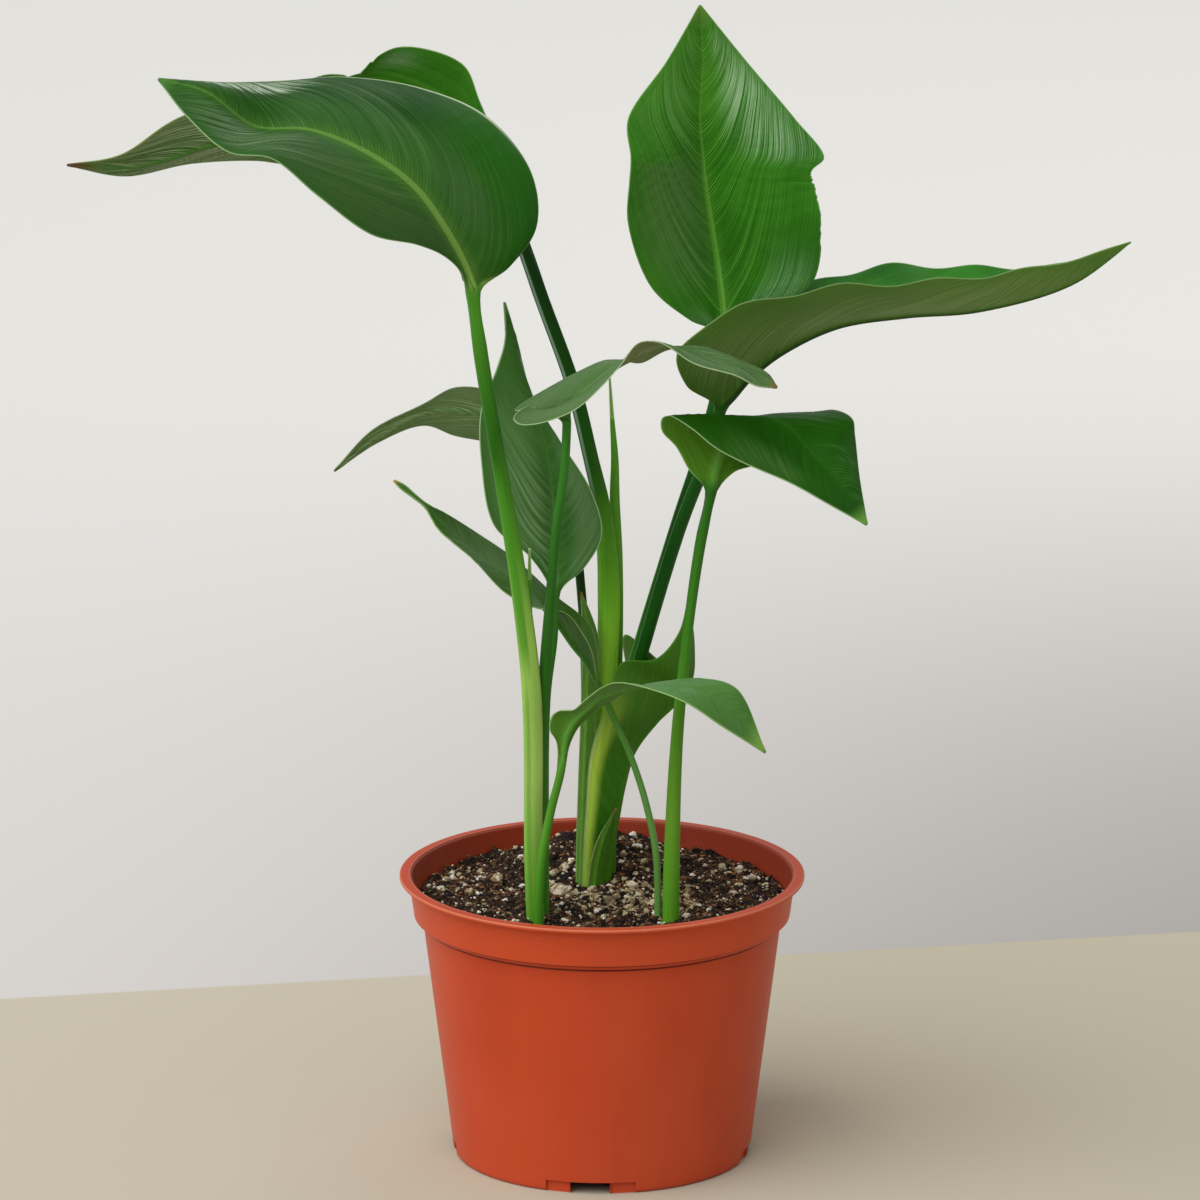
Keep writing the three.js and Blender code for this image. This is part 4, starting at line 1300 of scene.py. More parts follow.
LOW_FRONT = LeafForm(
    node="leaf_low_front",
    finish=LeafFinish(
        upper="467432", upper_light="558444", under="4c7c22", rib="5f8f48", rib_fade=0.9,
        under_light="5f9636", rib_under="5a9a38", tip="7aa84c", stripes=0.2,
        stalk=((90.0, "458c1e"), (140.0, "529428"), (170.0, "4f8a28")),
        patches=(
            Patch(BOTH, (0.35, 0.8), (0.1, 1.0), "6f9860", 0.5, 0.1, 0.2, 0.15),
        ),
        seed=7.7,
        grain=0.2,
    ),
    stalk=(
        (-25, -46, 78, 1.9), (-24, -46, 128, 1.8), (-20, -47, 152, 1.6), (-16, -49, 169, 1.6),
    ),
    blade=(
        ((-15, -49, 177), (-12.2, -48, 180), (-17.8, -50, 181.5)),
        ((-14, -50, 183), (-8.7, -47, 186.5), (-20.3, -52, 186.5)),
        ((-11.5, -51, 188.5), (-4, -46.5, 191), (-19.5, -53, 192.3)),
        ((-8.5, -52, 192.5), (0, -46, 194.5), (-16.5, -54.5, 194.8)),
        ((-5.5, -52.5, 195.5), (4, -46, 196.5), (-11.5, -55.5, 195.3)),
        ((-1, -53, 199.5), (8, -46, 199), (-5, -57.5, 201.3)),
        ((4, -53.5, 201.5), (10.5, -46, 200.3), (0.5, -60, 206)),
        ((10, -54, 203.3), (14, -46, 201.3), (6, -62, 208)),
        ((20, -56, 205), (24, -46, 204), (18, -64, 206)),
        ((35, -57, 204), (39, -48, 206), (32, -66, 201)),
        ((48, -58, 197), (52, -52, 203), (46, -64, 191)),
    ),
    tip=(63, -58, 179),
)
SIDE_LEFT = LeafForm(
    node="leaf_side_left",
    finish=LeafFinish(
        under="5c8442", under_light="c0dca8", rib_under="5a8040",
        rib_fade=0.9, tip="5f7a3c", stripes=0.9, margin="9cb888",
        stalk=((90.0, "4f9a24"), (180.0, "2a6a20"), (230.0, "153f10"), (280.0, "1c4a16")),
        seed=9.3,
        grain=1.4,
    ),
    lean=7.0,
    stalk=(
        (-8, 21, 78, 2.2), (-8, 21, 117, 2.3), (-6, 21, 179, 2.2), (-8, 21, 224, 1.9),
        (-13, 22, 260, 1.9), (-21, 22, 278, 1.8),
    ),
    blade=(
        ((-31, 22, 288), (-33, 14, 301), (-35, 30, 279)),
        ((-44, 22, 294), (-46, 12, 307), (-45, 32, 281)),
        ((-58, 22, 296), (-58, 14, 307), (-58, 30, 284)),
        ((-71, 20, 295), (-70, 16, 300), (-70, 26, 289)),
        ((-89, 18, 286), (-90, 14, 290), (-88, 22, 283)),
    ),
    tip=(-105, 16, 273),
)
LOW_LEFT = LeafForm(
    node="leaf_low_left",
    finish=LeafFinish(
        upper="3f6a24", upper_light="5d8a3c", under="2c5c18",
        under_light="4a7a2c", rib="5a8a3c", rib_fade=0.9, tip="b8a048", stripes=0.5,
        stalk=((90.0, "6a9848"), (140.0, "5a8c3c"), (180.0, "447a28")),
        seed=0.7,
        grain=0.3,
    ),
    cup=(0.0, 0.0),
    stalk=(
        (22.3, -24.5, 78, 1.6), (22.3, -24, 100, 1.6), (21.5, -20, 127, 1.5), (18, -12, 144, 1.5),
        (12, -2, 161, 1.4), (4, 2, 178.5, 1.4), (-1, 1, 190, 1.4),
    ),
    blade=(
        ((-6, 1, 200), (-4, -7, 206), (-2, 8, 204)),
        ((-11, 2, 206), (-7, -9, 213), (-4, 12, 211)),
        ((-18, 2, 216), (-14, -9, 222), (-8, 14, 215)),
        ((-26, 1, 225), (-26, -9, 224), (-18, 14, 223)),
        ((-37, -2, 235), (-38, -12, 231), (-34, 14, 238)),
        ((-50, -4, 245), (-50, -12, 244), (-48, 10, 249)),
        ((-63, -6, 258), (-64, -10, 256), (-61, 0, 260)),
        ((-68.5, -7, 264.5), (-68.9, -7.8, 263.8), (-68.1, -6.2, 265.4)),
        ((-73, -8, 268.6), (-73.5, -8.7, 268), (-72.5, -7.3, 269.3)),
        ((-77.5, -8.5, 272.5), (-78.3, -9, 271.6), (-76.7, -8, 273.4)),
    ),
    tip=(-81, -9, 275.3),
)
LOW_CENTRE = LeafForm(
    node="leaf_low_centre",
    finish=LeafFinish(
        upper="3a6a18", upper_light="4a7a20", under="3c821a",
        under_light="4f8c20", rib_under="4f7f1c", rib="7aa83c", stripes=0.3, margin="5f9a34",
        patches=(
            Patch(BOTH, (0.0, 0.2), (0.0, 1.0), "50a424", 0.6, 0.12, 0.2, 0.2),
            # Lime strip: the sheath's own lime colour, brightened further as painted light.
            Patch(RIGHT, (0.14, 0.56), (0.76, 1.0), "d4fc5c", 1.0, 0.1, 0.14, 0.0),
            Patch(RIGHT, (0.02, 0.5), (0.955, 1.0), "e4ecb4", 0.9, 0.06, 0.02, 0.0),
            Patch(BOTH, (0.5, 1.0), (0.0, 1.0), "4a6a1c", 0.5, 0.08, 0.2, 0.4),
            Patch(RIGHT, (0.45, 0.7), (0.5, 1.0), "5f8a3c", 0.5, 0.1, 0.2, 0.8),
            Patch(LEFT, (0.3, 0.62), (0.7, 1.0), "6a5a34", 0.5, 0.08, 0.15, 0.4),
        ),
        seed=2.9,
        grain=0.6,
    ),
    cup=(-0.1, -0.1),
    blade=(
        ((0.8, 19.5, 78), (3, 23.5, 78), (-9, 14.5, 78)),
        ((1.8, 19.5, 105), (3.5, 24, 104), (-8, 13.5, 106)),
        ((6.2, 20.5, 134), (7.5, 26, 134), (-6.5, 12, 137)),
        ((11.5, 22, 156), (12.5, 30, 157), (-4.5, 10, 160)),
        ((21, 24, 169), (12, 50, 172), (1.5, 7, 180)),
        ((29, 24, 177), (9, 50, 198), (7.5, 7.5, 197.5)),
        ((35, 22, 187), (27, 38, 188), (21, 8, 199)),
        ((36, 18, 200), (34, 27, 203), (30, 10, 209)),
    ),
    tip=(34, 14, 223),
)
SPEAR_LEAF = LeafForm(
    node="spear_leaf",
    finish=LeafFinish(
        tip="4f8a34",
        stalk=(
            (90.0, "4f9a20"), (190.0, "64a428"), (230.0, "6cac30"), (262.0, "64a834"),
            (280.0, "5aa028"), (300.0, "4f9428"),
        ),
        seed=1.9,
    ),
    slot=Slot.NEW,
    cup=(0.0, 0.0),
    stalk=(
        (3, 31, 78, 2.0), (4, 30, 135, 2.1), (6, 28, 197, 2.2), (6, 27, 234, 2.2),
        (5, 26, 259, 2.0), (5, 24, 276, 1.5), (4, 23, 292, 0.9),
    ),
    tip=(3, 22, 309),
)
YOUNG_SPIKE = LeafForm(
    node="young_spike",
    finish=LeafFinish(
        tip="c8d8a0", stalk=((90.0, "58a52c"), (250.0, "5a9a30")), seed=4.9,
    ),
    slot=Slot.NEW,
    cup=(0.0, 0.0),
    stalk=(
        (-28, -30, 78, 1.2), (-27, -31, 152, 1.2), (-27, -33, 197, 1.2), (-28, -35, 230, 1.0),
        (-28, -36, 242, 0.8),
    ),
    tip=(-28, -37, 255),
)
CENTRE_SHEATH = LeafForm(
    node="centre_sheath",
    finish=LeafFinish(
        upper="5a8c34", upper_light="7aa848", under="5a8c34",
        under_light="7aa848", rib="6a9c3c", rib_under="6f9a40", tip="a0703a",
        patches=(
            Patch(RIGHT, (0.0, 0.3), (0.3, 1.0), "8a8a34", 0.5, 0.08, 0.2, 0.6),
        ),
        seed=6.1,
    ),
    slot=Slot.NEW,
    cup=(0.0, 0.0),
    lean=9.0,
    keel=1.0,
    blade=(
        ((-9.2, 17, 78), (-11, 18, 78), (-7.4, 16.6, 78)),
        ((-7.6, 16.6, 137), (-9.8, 18, 136), (-4.2, 16.4, 136)),
        ((-5.6, 16.4, 186), (-8.2, 17.5, 186), (-2, 17, 186)),
        ((-5, 16.4, 208), (-8, 17.2, 209), (-1.6, 17, 206)),
    ),
    tip=(-8.2, 17, 224),
)
DRY_SHEATH = LeafForm(
    node="dry_sheath",
    finish=LeafFinish(
        upper="4a8420", upper_light="5a942c", under="4a7f22",
        under_light="5a8f30", rib="4f8a24", rib_under="4a8424", margin="5a942c", tip="8a6a44",
        patches=(
            Patch(LEFT, (0.15, 1.0), (0.45, 0.8), "6f5a30", 1.0, 0.1, 0.1, 0.9),
            Patch(LEFT, (0.1, 0.95), (0.86, 1.0), "f0e8c4", 1.0, 0.1, 0.06, 0.6),
            Patch(BOTH, (0.9, 1.0), (0.0, 1.0), "6a5a34", 0.7, 0.04, streaky=0.5),
        ),
        seed=7.1,
    ),
    slot=Slot.DRY,
    cup=(0.0, 0.0),
    lean=6.0,
    keel=0.8,
    blade=(
        ((-3.5, 9, 78), (-6.5, 10, 78), (-0.5, 11.5, 78)),
        ((-2.6, 9, 107), (-5.8, 10, 106), (0.5, 12, 107)),
        ((0.2, 9, 123), (-2.6, 9.2, 123), (3.6, 13, 122)),
    ),
    tip=(5.6, 11.5, 137),
)
LEAVES: tuple[LeafForm, ...] = (
    UPPER_LEFT, UPPER_BACK, TOP_RIGHT, LONG_RIGHT, MID_RIGHT, ARCHED, UPRIGHT, LOW_FRONT, SIDE_LEFT,
    LOW_LEFT, LOW_CENTRE, SPEAR_LEAF, YOUNG_SPIKE, CENTRE_SHEATH, DRY_SHEATH,
)


@dataclass
class Plant:
    """The shoots: every leaf with its stalk, the spear, the spike and the sheaths."""

    forms: tuple[LeafForm, ...] = LEAVES

    def build(self) -> None:
        """Lofts each form and puts it in its node's place."""
        for form in self.forms:
            piece = LeafLoft(form).build()
            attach(piece, BODY)
            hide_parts(form.node)
            LOG.info("%s: %d faces", piece.name, len(piece.data.polygons))


@dataclass
class NurseryPot:
    """The moulded pot, turned smooth, with its drain notches cut."""

    finish: PotFinish = field(default_factory=PotFinish)
    height: float = 114.0
    rim_radius: float = 80.0
    base_radius: float = 58.9
    slope: float = 0.125
    wall: float = 1.4
    floor: float = 2.4
    collar_bottom: float = 97.5
    collar_low: float = 74.4
    collar_top: float = 76.3
    lip: float = 1.5
    sides: int = 240
    notches: int = 4
    notch_turn: float = -4.6
    notch_width: float = 16.0
    notch_height: float = 4.8
    notch_depth: float = 14.0
    notch_wall: float = 1.8
    cheek_width: float = 35.0
    cheek_recess: float = 1.1
    cheek_spread: float = 4.3
    sharp_from: float = 38.0

    def outer(self, height: float) -> float:
        """Outside radius of the plain wall at a height."""
        return self.base_radius + self.slope * height

    def toe(self) -> list[Pair]:
        """The section of the foot.

        Returns:
            Radius and height pairs, from the centre out and round the bend.
        """
        foot = self.base_radius
        return [
            (0.0, 0.0), (foot - 6.0, 0.0), (foot - 1.7, 0.0),
            *self.bend((foot - 1.2, 0.0), (foot + 0.1, 1.3), 0.55),
            (self.outer(3.0), 3.0), (self.outer(3.4), 3.4),
        ]

    def profile(self) -> list[Pair]:
        """The whole section.

        Returns:
            Radius and height pairs, from the foot's centre up the outside and back to the floor's centre.
        """
        top, rim, under_lip = self.height, self.rim_radius, self.height - self.lip
        low, high, collar = self.collar_low, self.collar_top, self.collar_bottom
        step, step_in = collar - 1.6, collar - 1.4
        side = self.outer(step)
        outside = [
            *((self.outer(z), z) for z in (7.2, 8.0, 50.0, step - 1.6)),
            (side - 0.2, step - 0.9), (side - 0.5, step - 0.45), (side + 0.9, step - 0.25),
            (side + 1.4, step + 0.05), (side + 1.6, step + 0.4),
            (side + 2.1, collar - 0.25), (side + 1.7, collar - 0.12),
            (low - 0.5, collar + 0.05), (low - 0.1, collar + 0.2), (low, collar + 0.6),
            (high - 0.05, under_lip - 0.8), (high + 0.1, under_lip - 0.3),
            (high + 0.5, under_lip), (rim - 0.6, under_lip),
            *self.bend((rim - 0.3, under_lip + 0.05), (rim, under_lip + 0.4), 0.7),
            *self.bend((rim, top - 0.45), (rim - 0.5, top), 0.7),
        ]
        inside = [
            *self.bend((high - 0.5, top), (high - 1.1, top - 0.6), 0.7),
            (high - 1.6, top - 1.8),
            (low - self.wall, collar + 0.8),
            (low - self.wall - 0.4, collar + 0.3),
            (self.outer(step_in) - self.wall, step_in), (self.outer(5.0) - self.wall, 5.0),
            (self.outer(self.floor) - self.wall - 1.5, self.floor + 0.2), (0.0, self.floor),
        ]
        return [*self.toe(), *outside, *inside]

    def foot(self) -> list[Pair]:
        """The outside of the foot as a full solid, which the notch housings stay inside."""
        top = self.notch_height + 6.0
        return [*self.toe(), (self.outer(top), top), (0.0, top)]

    @staticmethod
    def bend(start: Pair, end: Pair, bulge: float, steps: int = 4) -> list[Pair]:
        """Points of a quarter bend between two points that bulges to the outside.

        Args:
            start: First radius and height.
            end: Last radius and height.
            bulge: How far the corner point draws the bend, from 0 to 1.
            steps: Number of chords.

        Returns:
            The points of the bend.
        """
        outward = max(start[0], end[0])
        lone = end[1] if start[0] == outward else start[1]
        middle = ((start[0] + end[0]) / 2.0, (start[1] + end[1]) / 2.0)
        corner = (middle[0] + (outward - middle[0]) * bulge, middle[1] + (lone - middle[1]) * bulge)
        points = []
        for i in range(steps + 1):
            t = i / steps
            a, b, c = (1 - t) ** 2, 2 * t * (1 - t), t * t
            radius, height = (a * start[k] + b * corner[k] + c * end[k] for k in (0, 1))
            points.append((radius, height))
        return points

    def turned(self, profile: list[Pair], name: str) -> bpy.types.Object:
        """A closed solid of revolution.

        Args:
            profile: Radius and height pairs that start and end on the axis.
            name: The object's name.

        Returns:
            The object.
        """
        shape = bmesh.new()
        points = [shape.verts.new((radius * MM, 0.0, height * MM)) for radius, height in profile]
        edges = [shape.edges.new(pair) for pair in zip(points, points[1:])]
        bmesh.ops.spin(
            shape, geom=[*points, *edges], cent=(0, 0, 0), axis=(0, 0, 1), dvec=(0, 0, 0),
            angle=2.0 * math.pi, steps=self.sides, use_merge=True, use_duplicate=False,
        )
        bmesh.ops.remove_doubles(shape, verts=shape.verts, dist=1e-6)
        return stand_shape(name, shape)

    def _angles(self) -> list[float]:
        """Where the notches are, in degrees from the front."""
        return [360.0 / self.notches * number + self.notch_turn for number in range(self.notches)]

    @staticmethod
    def _block(shape: bmesh.types.BMesh, width: float, reach: Pair, rise: Pair, angle: float) -> None:
        """Adds a block across the wall.

        Args:
            shape: What it is added to.
            width: Its width along the wall.
            reach: Its inner and outer distance from the axis.
            rise: Its lower and upper height.
            angle: Its place round the pot, in degrees from the front.
        """
        turn = Matrix.Rotation(math.radians(angle), 4, "Z")
        size = (width, reach[1] - reach[0], rise[1] - rise[0])
        centre = (0.0, -(reach[0] + reach[1]) / 2.0, (rise[0] + rise[1]) / 2.0)
        for vert in bmesh.ops.create_cube(shape, size=1.0)["verts"]:
            local = Vector([vert.co[i] * size[i] + centre[i] for i in range(3)])
            vert.co = (turn @ local) * MM

    def _cutters(self) -> bpy.types.Object:
        """Makes the blocks that cut the mouths and the set-back cheeks of the notches.

        Returns:
            One object with all the blocks.
        """
        shape = bmesh.new()
        mouth = self.base_radius - self.notch_depth
        cheek = self.base_radius * math.cos(math.radians(self.cheek_spread)) - self.cheek_recess
        beyond = self.base_radius + 6.0
        lean = math.degrees(math.asin((self.notch_width + self.cheek_width) / 4.0 / self.base_radius))
        width = (self.cheek_width - self.notch_width) / 2.0 + 0.4
        for angle in self._angles():
            self._block(shape, self.notch_width, (mouth, beyond), (-1.0, self.notch_height), angle)
            for turn in (angle - lean, angle + lean):
                self._block(shape, width, (cheek, beyond), (-1.0, self.notch_height + 0.02), turn)
        return stand_shape("notch_cutters", shape)

    def _housings(self) -> bpy.types.Object:
        """Makes the blocks inside the foot that back the notches.

        Returns:
            One object with all the blocks.
        """
        shape = bmesh.new()
        reach = (self.base_radius - self.notch_depth - self.notch_wall, self.base_radius + 5.0)
        rise = (0.5, self.notch_height + self.notch_wall)
        for angle in self._angles():
            self._block(shape, self.cheek_width + 3.0, reach, rise, angle)
        return stand_shape("notch_housings", shape)

    @staticmethod
    def _boolean(piece: bpy.types.Object, tool: bpy.types.Object, operation: str) -> None:
        """Joins or cuts a piece by a tool, which is removed.

        Args:
            piece: What is changed.
            tool: The closed shape that changes it.
            operation: UNION, DIFFERENCE or INTERSECT.
        """
        modifier = piece.modifiers.new("cut", "BOOLEAN")
        modifier.operation = operation
        modifier.solver = "MANIFOLD"
        modifier.object = tool
        view = bpy.context.evaluated_depsgraph_get()
        mesh = bpy.data.meshes.new_from_object(piece.evaluated_get(view))
        piece.modifiers.clear()
        old = piece.data
        piece.data = mesh
        bpy.data.meshes.remove(old)
        bpy.data.objects.remove(tool)

    def build(self) -> None:
        """Turns the pot, cuts the notches and sets its edges."""
        piece = self.turned(self.profile(), "pot_shell")
        housings = self._housings()
        self._boolean(housings, self.turned(self.foot(), "pot_foot"), "INTERSECT")
        self._boolean(piece, housings, "UNION")
        self._boolean(piece, self._cutters(), "DIFFERENCE")
        piece.data.shade_smooth()
        piece.data.set_sharp_from_angle(angle=math.radians(self.sharp_from))
        piece.data.materials.clear()
        piece.data.materials.append(self.finish.material())
        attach(piece, BODY)
        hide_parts("pot")
        LOG.info("%s: %d faces", piece.name, len(piece.data.polygons))


@dataclass(frozen=True)
class GrainKind:
    """Loose grains of one kind: how many, how large and what they look like."""

    name: str
    finish: GrainFinish
    density: float
    small: float
    large: float
    stretch: Point
    rough: float
    seed: int
    sink: float = 0.2
    cluster: float = 0.0
    faces: int = 2


class Draw(Enum):
    """Kinds of random value, in the order of the node's sockets."""

    FLOAT_VECTOR = 0
    FLOAT = 1
    INT = 2


class GrainTree(NodeTree):
    """Geometry Nodes that scatter irregular grains over the soil."""

    INPUTS: dict[str, str] = {
        "Geometry": "Geometry", "Density": "Float", "Small": "Float", "Large": "Float",
        "Stretch": "Vector", "Rough": "Float", "Sink": "Float", "Cluster": "Float",
        "Seed": "Int", "Material": "Material",
    }
    SHAPES: int = 5
    HEAP: Point = (16.0, -6.0, 105.0)
    HEAP_NEAR: float = 12.0
    HEAP_FAR: float = 30.0

    def __init__(self, name: str) -> None:
        """Starts the tree with its named inputs.

        Args:
            name: The tree's name.
        """
        super().__init__(bpy.data.node_groups.new(name, "GeometryNodeTree"))
        for label, kind in self.INPUTS.items():
            self.tree.interface.new_socket(label, in_out="INPUT", socket_type="NodeSocket" + kind)
        self.tree.interface.new_socket("Geometry", in_out="OUTPUT", socket_type="NodeSocketGeometry")
        self.start = self.node("NodeGroupInput")
        self.spot = self.node("GeometryNodeInputPosition").outputs[0]

    def given(self, name: str) -> Signal:
        """One of the tree's named inputs."""
        return Signal(self, self.start.outputs[name])

    def draw(self, kind: Draw, low: object, high: object) -> Signal:
        """A random value for each grain.

        Args:
            kind: What kind of value it is.
            low: The least value.
            high: The greatest value.

        Returns:
            The value.
        """
        first = 2 * kind.value
        inputs = {first: low, first + 1: high, "Seed": self.given("Seed")}
        node = self.node("FunctionNodeRandomValue", {"data_type": kind.name}, inputs)
        return Signal(self, node.outputs[kind.value])

    def mapped(self, value: Socket | Signal, span: Pair, low: Signal | float, high: Signal | float) -> Signal:
        """A value that runs from low to high while the given one runs over a span."""
        inputs = {0: value, 1: span[0], 2: span[1], 3: low, 4: high}
        return Signal(self, self.node("ShaderNodeMapRange", None, inputs).outputs[0])

    def lump(self, number: int, faces: int) -> Socket:
        """One irregular grain of about unit size.

        Args:
            number: Which shape it is.
            faces: Subdivisions of its ball.

        Returns:
            The grain as an instance.
        """
        ball = self.node("GeometryNodeMeshIcoSphere", None, {"Radius": 0.5, "Subdivisions": faces})
        relief = self.node(
            "ShaderNodeTexNoise", {"noise_dimensions": "4D"},
            {"Vector": self.spot, "W": 3.7 * number, "Scale": 2.3, "Detail": 1.0},
        )
        centred = self.node(
            "ShaderNodeVectorMath", {"operation": "SUBTRACT"}, {0: relief.outputs["Color"], 1: (0.5,) * 3}
        )
        moved = self.node(
            "ShaderNodeVectorMath", {"operation": "SCALE"},
            {0: centred.outputs[0], "Scale": self.given("Rough")},
        )
        shaped = self.node(
            "GeometryNodeSetPosition", None, {"Geometry": ball.outputs[0], "Offset": moved.outputs[0]}
        )
        smooth = self.node("GeometryNodeSetShadeSmooth", None, {0: shaped.outputs[0], "Shade Smooth": True})
        return self.node("GeometryNodeGeometryToInstance", None, {0: smooth.outputs[0]}).outputs[0]

    def density(self) -> Signal:
        """How many grains lie on a square metre: uneven, with more of some kinds on the heap.

        Returns:
            The density over the bed.
        """
        clumps = self.node("ShaderNodeTexNoise", None, {"Vector": self.spot, "Scale": 70.0, "Detail": 2.0})
        uneven = self.mapped(clumps.outputs[0], (0.36, 0.62), 0.4, 1.4)
        heap = tuple(value * MM for value in self.HEAP)
        away = self.node("ShaderNodeVectorMath", {"operation": "DISTANCE"}, {0: self.spot, 1: heap})
        near = self.mapped(away.outputs["Value"], (self.HEAP_NEAR * MM, self.HEAP_FAR * MM), 1.0, 0.0)
        return (uneven + near * self.given("Cluster")) * self.given("Density")

    def build(self, faces: int) -> bpy.types.NodeTree:
        """Wires the scatter.

        Args:
            faces: Subdivisions of each grain's ball.

        Returns:
            The finished tree.
        """
        points = self.node(
            "GeometryNodeDistributePointsOnFaces", {"distribute_method": "RANDOM"},
            {"Mesh": self.given("Geometry"), "Density": self.density(), "Seed": self.given("Seed")},
        )
        lumps = self.node("GeometryNodeJoinGeometry")
        for number in range(self.SHAPES):
            self.tree.links.new(self.lump(number, faces), lumps.inputs[0])
        rarely_large = self.draw(Draw.FLOAT, 0.0, 1.0) ** 2.2
        size = self.mapped(rarely_large, (0.0, 1.0), self.given("Small"), self.given("Large"))
        scale = self.node(
            "ShaderNodeVectorMath", {"operation": "SCALE"}, {0: self.given("Stretch"), "Scale": size}
        )
        placed = self.node(
            "GeometryNodeInstanceOnPoints", None,
            {
                "Points": points.outputs["Points"], "Instance": lumps.outputs[0], "Pick Instance": True,
                "Instance Index": self.draw(Draw.INT, 0, self.SHAPES - 1),
                "Rotation": self.draw(Draw.FLOAT_VECTOR, (-0.5, -0.5, 0.0), (0.5, 0.5, 2.0 * math.pi)),
                "Scale": scale.outputs[0],
            },
        )
        lower = self.node("ShaderNodeCombineXYZ", None, {2: size * self.given("Sink") * -1.0})
        sunk = self.node(
            "GeometryNodeTranslateInstances", None,
            {"Instances": placed.outputs[0], "Translation": lower.outputs[0], "Local Space": False},
        )
        real = self.node("GeometryNodeRealizeInstances", None, {0: sunk.outputs[0]})
        dressed = self.node(
            "GeometryNodeSetMaterial", None, {"Geometry": real.outputs[0], "Material": self.given("Material")}
        )
        self.node("NodeGroupOutput", None, {0: dressed.outputs[0]})
        return self.tree


@dataclass
class SoilBed:
    """The potting mix: a rough bed of peat and the loose grains on it."""

    pot: NurseryPot
    finish: PeatFinish = field(default_factory=PeatFinish)
    pale: GrainFinish = GrainFinish("pale_lump", "94805c", "f6ead0", 0.9, 1.0)
    level: float = 103.8
    mound: float = 8.0
    clearance: float = 0.3
    above_floor: float = 0.5
    sides: int = 400
    rings: int = 150
    lump_shape: Point = (1.1, 0.85, 0.75)
    lump_rise: float = 0.22
    lumps: tuple[Point, ...] = (
        (-16, 6, 7.0), (-10.5, 3, 5.0), (-20, 12, 4.0), (-6, -2, 4.0), (-13, 0, 3.6), (12, 8, 3.6),
        (17, 12, 3.6), (15, 2, 3.4), (-42, 22, 5.0), (-62, 24, 3.6), (-64, 10, 3.4), (48, 40, 3.6),
        (55, 35, 4.0), (60, 28, 3.4), (-15, 34, 4.6), (-19, 28, 3.6), (-12, 38, 3.4), (38, -10, 3.6),
        (52, 8, 3.6), (30, 20, 3.2), (20, -14, 3.4),
    )
    kinds: tuple[GrainKind, ...] = (
        GrainKind("peat_crumbs", GrainFinish("crumb", "0c0604", "74482e", shade=0.9), 400000.0, 0.7, 3.2,
                  (1.0, 0.75, 0.6), 0.95, 11, faces=1),
        GrainKind("peat_flakes", GrainFinish("flake", "140a05", "b47e52", shade=0.85), 240000.0, 0.6, 2.6,
                  (1.6, 0.5, 0.3), 0.7, 17, sink=-0.1, faces=1),
        GrainKind("bark_chips", GrainFinish("bark", "2c1b12", "84583a", shade=0.6), 60000.0, 1.4, 4.6,
                  (1.3, 0.55, 0.35), 0.6, 23, faces=1),
        GrainKind("sand", GrainFinish("sand", "96825f", "fffaee"), 70000.0, 0.4, 1.7,
                  (1.0, 0.8, 0.7), 0.7, 29, sink=-0.2, faces=1),
        GrainKind("perlite", GrainFinish("perlite", "d0c4a8", "fffdf4", 0.9, 0.8), 12000.0, 1.0, 4.0,
                  (1.0, 0.85, 0.75), 0.8, 37, sink=0.1),
        GrainKind("tan_grit", GrainFinish("grit", "7a6a4c", "d8c69c", 0.8, 0.7), 15000.0, 1.2, 3.8,
                  (1.0, 0.85, 0.7), 0.7, 41, sink=0.1, cluster=13.0),
        GrainKind("fibres", GrainFinish("fibre", "4a3222", "a8835e"), 120000.0, 0.5, 1.3,
                  (6.0, 0.2, 0.2), 0.6, 53, sink=-0.3, faces=1),
    )

    def height(self, x: np.ndarray, y: np.ndarray) -> np.ndarray:
        """Height of the bed over its plan, with its mound at the back, its lumps and its grain.

        Args:
            x: Places to the right.
            y: Places to the back.

        Returns:
            The height at each place.
        """
        swell = 1.1 * np.sin(0.07 * x + 0.9) * np.cos(0.06 * y - 0.5)
        lumps = 0.9 * np.sin(0.21 * x - 0.16 * y + 2.0) + 0.6 * np.sin(0.37 * x + 0.31 * y)
        grains = 0.5 * np.sin(0.71 * x + 1.1) * np.sin(0.67 * y + 0.4)
        mound = self.mound * np.exp(-((x + 1.0) / 25.0) ** 2) * smoothstep(y, 15.0, 60.0)
        spots = zip(np.ravel(x), np.ravel(y))
        rough = [noise.fractal((0.3 * a, 0.3 * b, 4.0), 0.6, 2.1, 5) for a, b in spots]
        return self.level + swell + lumps + grains + mound + 1.3 * np.reshape(rough, np.shape(x))

    def level_at(self, x: float, y: float) -> float:
        """Height of the bed at one place."""
        return float(self.height(np.array(x), np.array(y)))

    def build(self) -> None:
        """Makes the bed and scatters the grains."""
        walls, tops = self._walls(), self._tops()
        bed = self._mesh("peat_bed", [*walls, *tops], self.pot.floor + self.above_floor)
        bed.data.materials.append(self.finish.material())
        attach(bed, BODY)
        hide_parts("soil")
        LOG.info("%s: %d faces", bed.name, len(bed.data.polygons))
        top = self._mesh("soil_top", tops[1:], None)
        for kind in self.kinds:
            self._keep(self._scatter(top, kind))
        bpy.data.objects.remove(top)
        self._keep(self._lumps())

    @staticmethod
    def _keep(grains: bpy.types.Object) -> None:
        """Keeps loose grains with the body.

        Args:
            grains: The grains.
        """
        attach(grains, BODY)
        LOG.info("%s: %d faces", grains.name, len(grains.data.polygons))

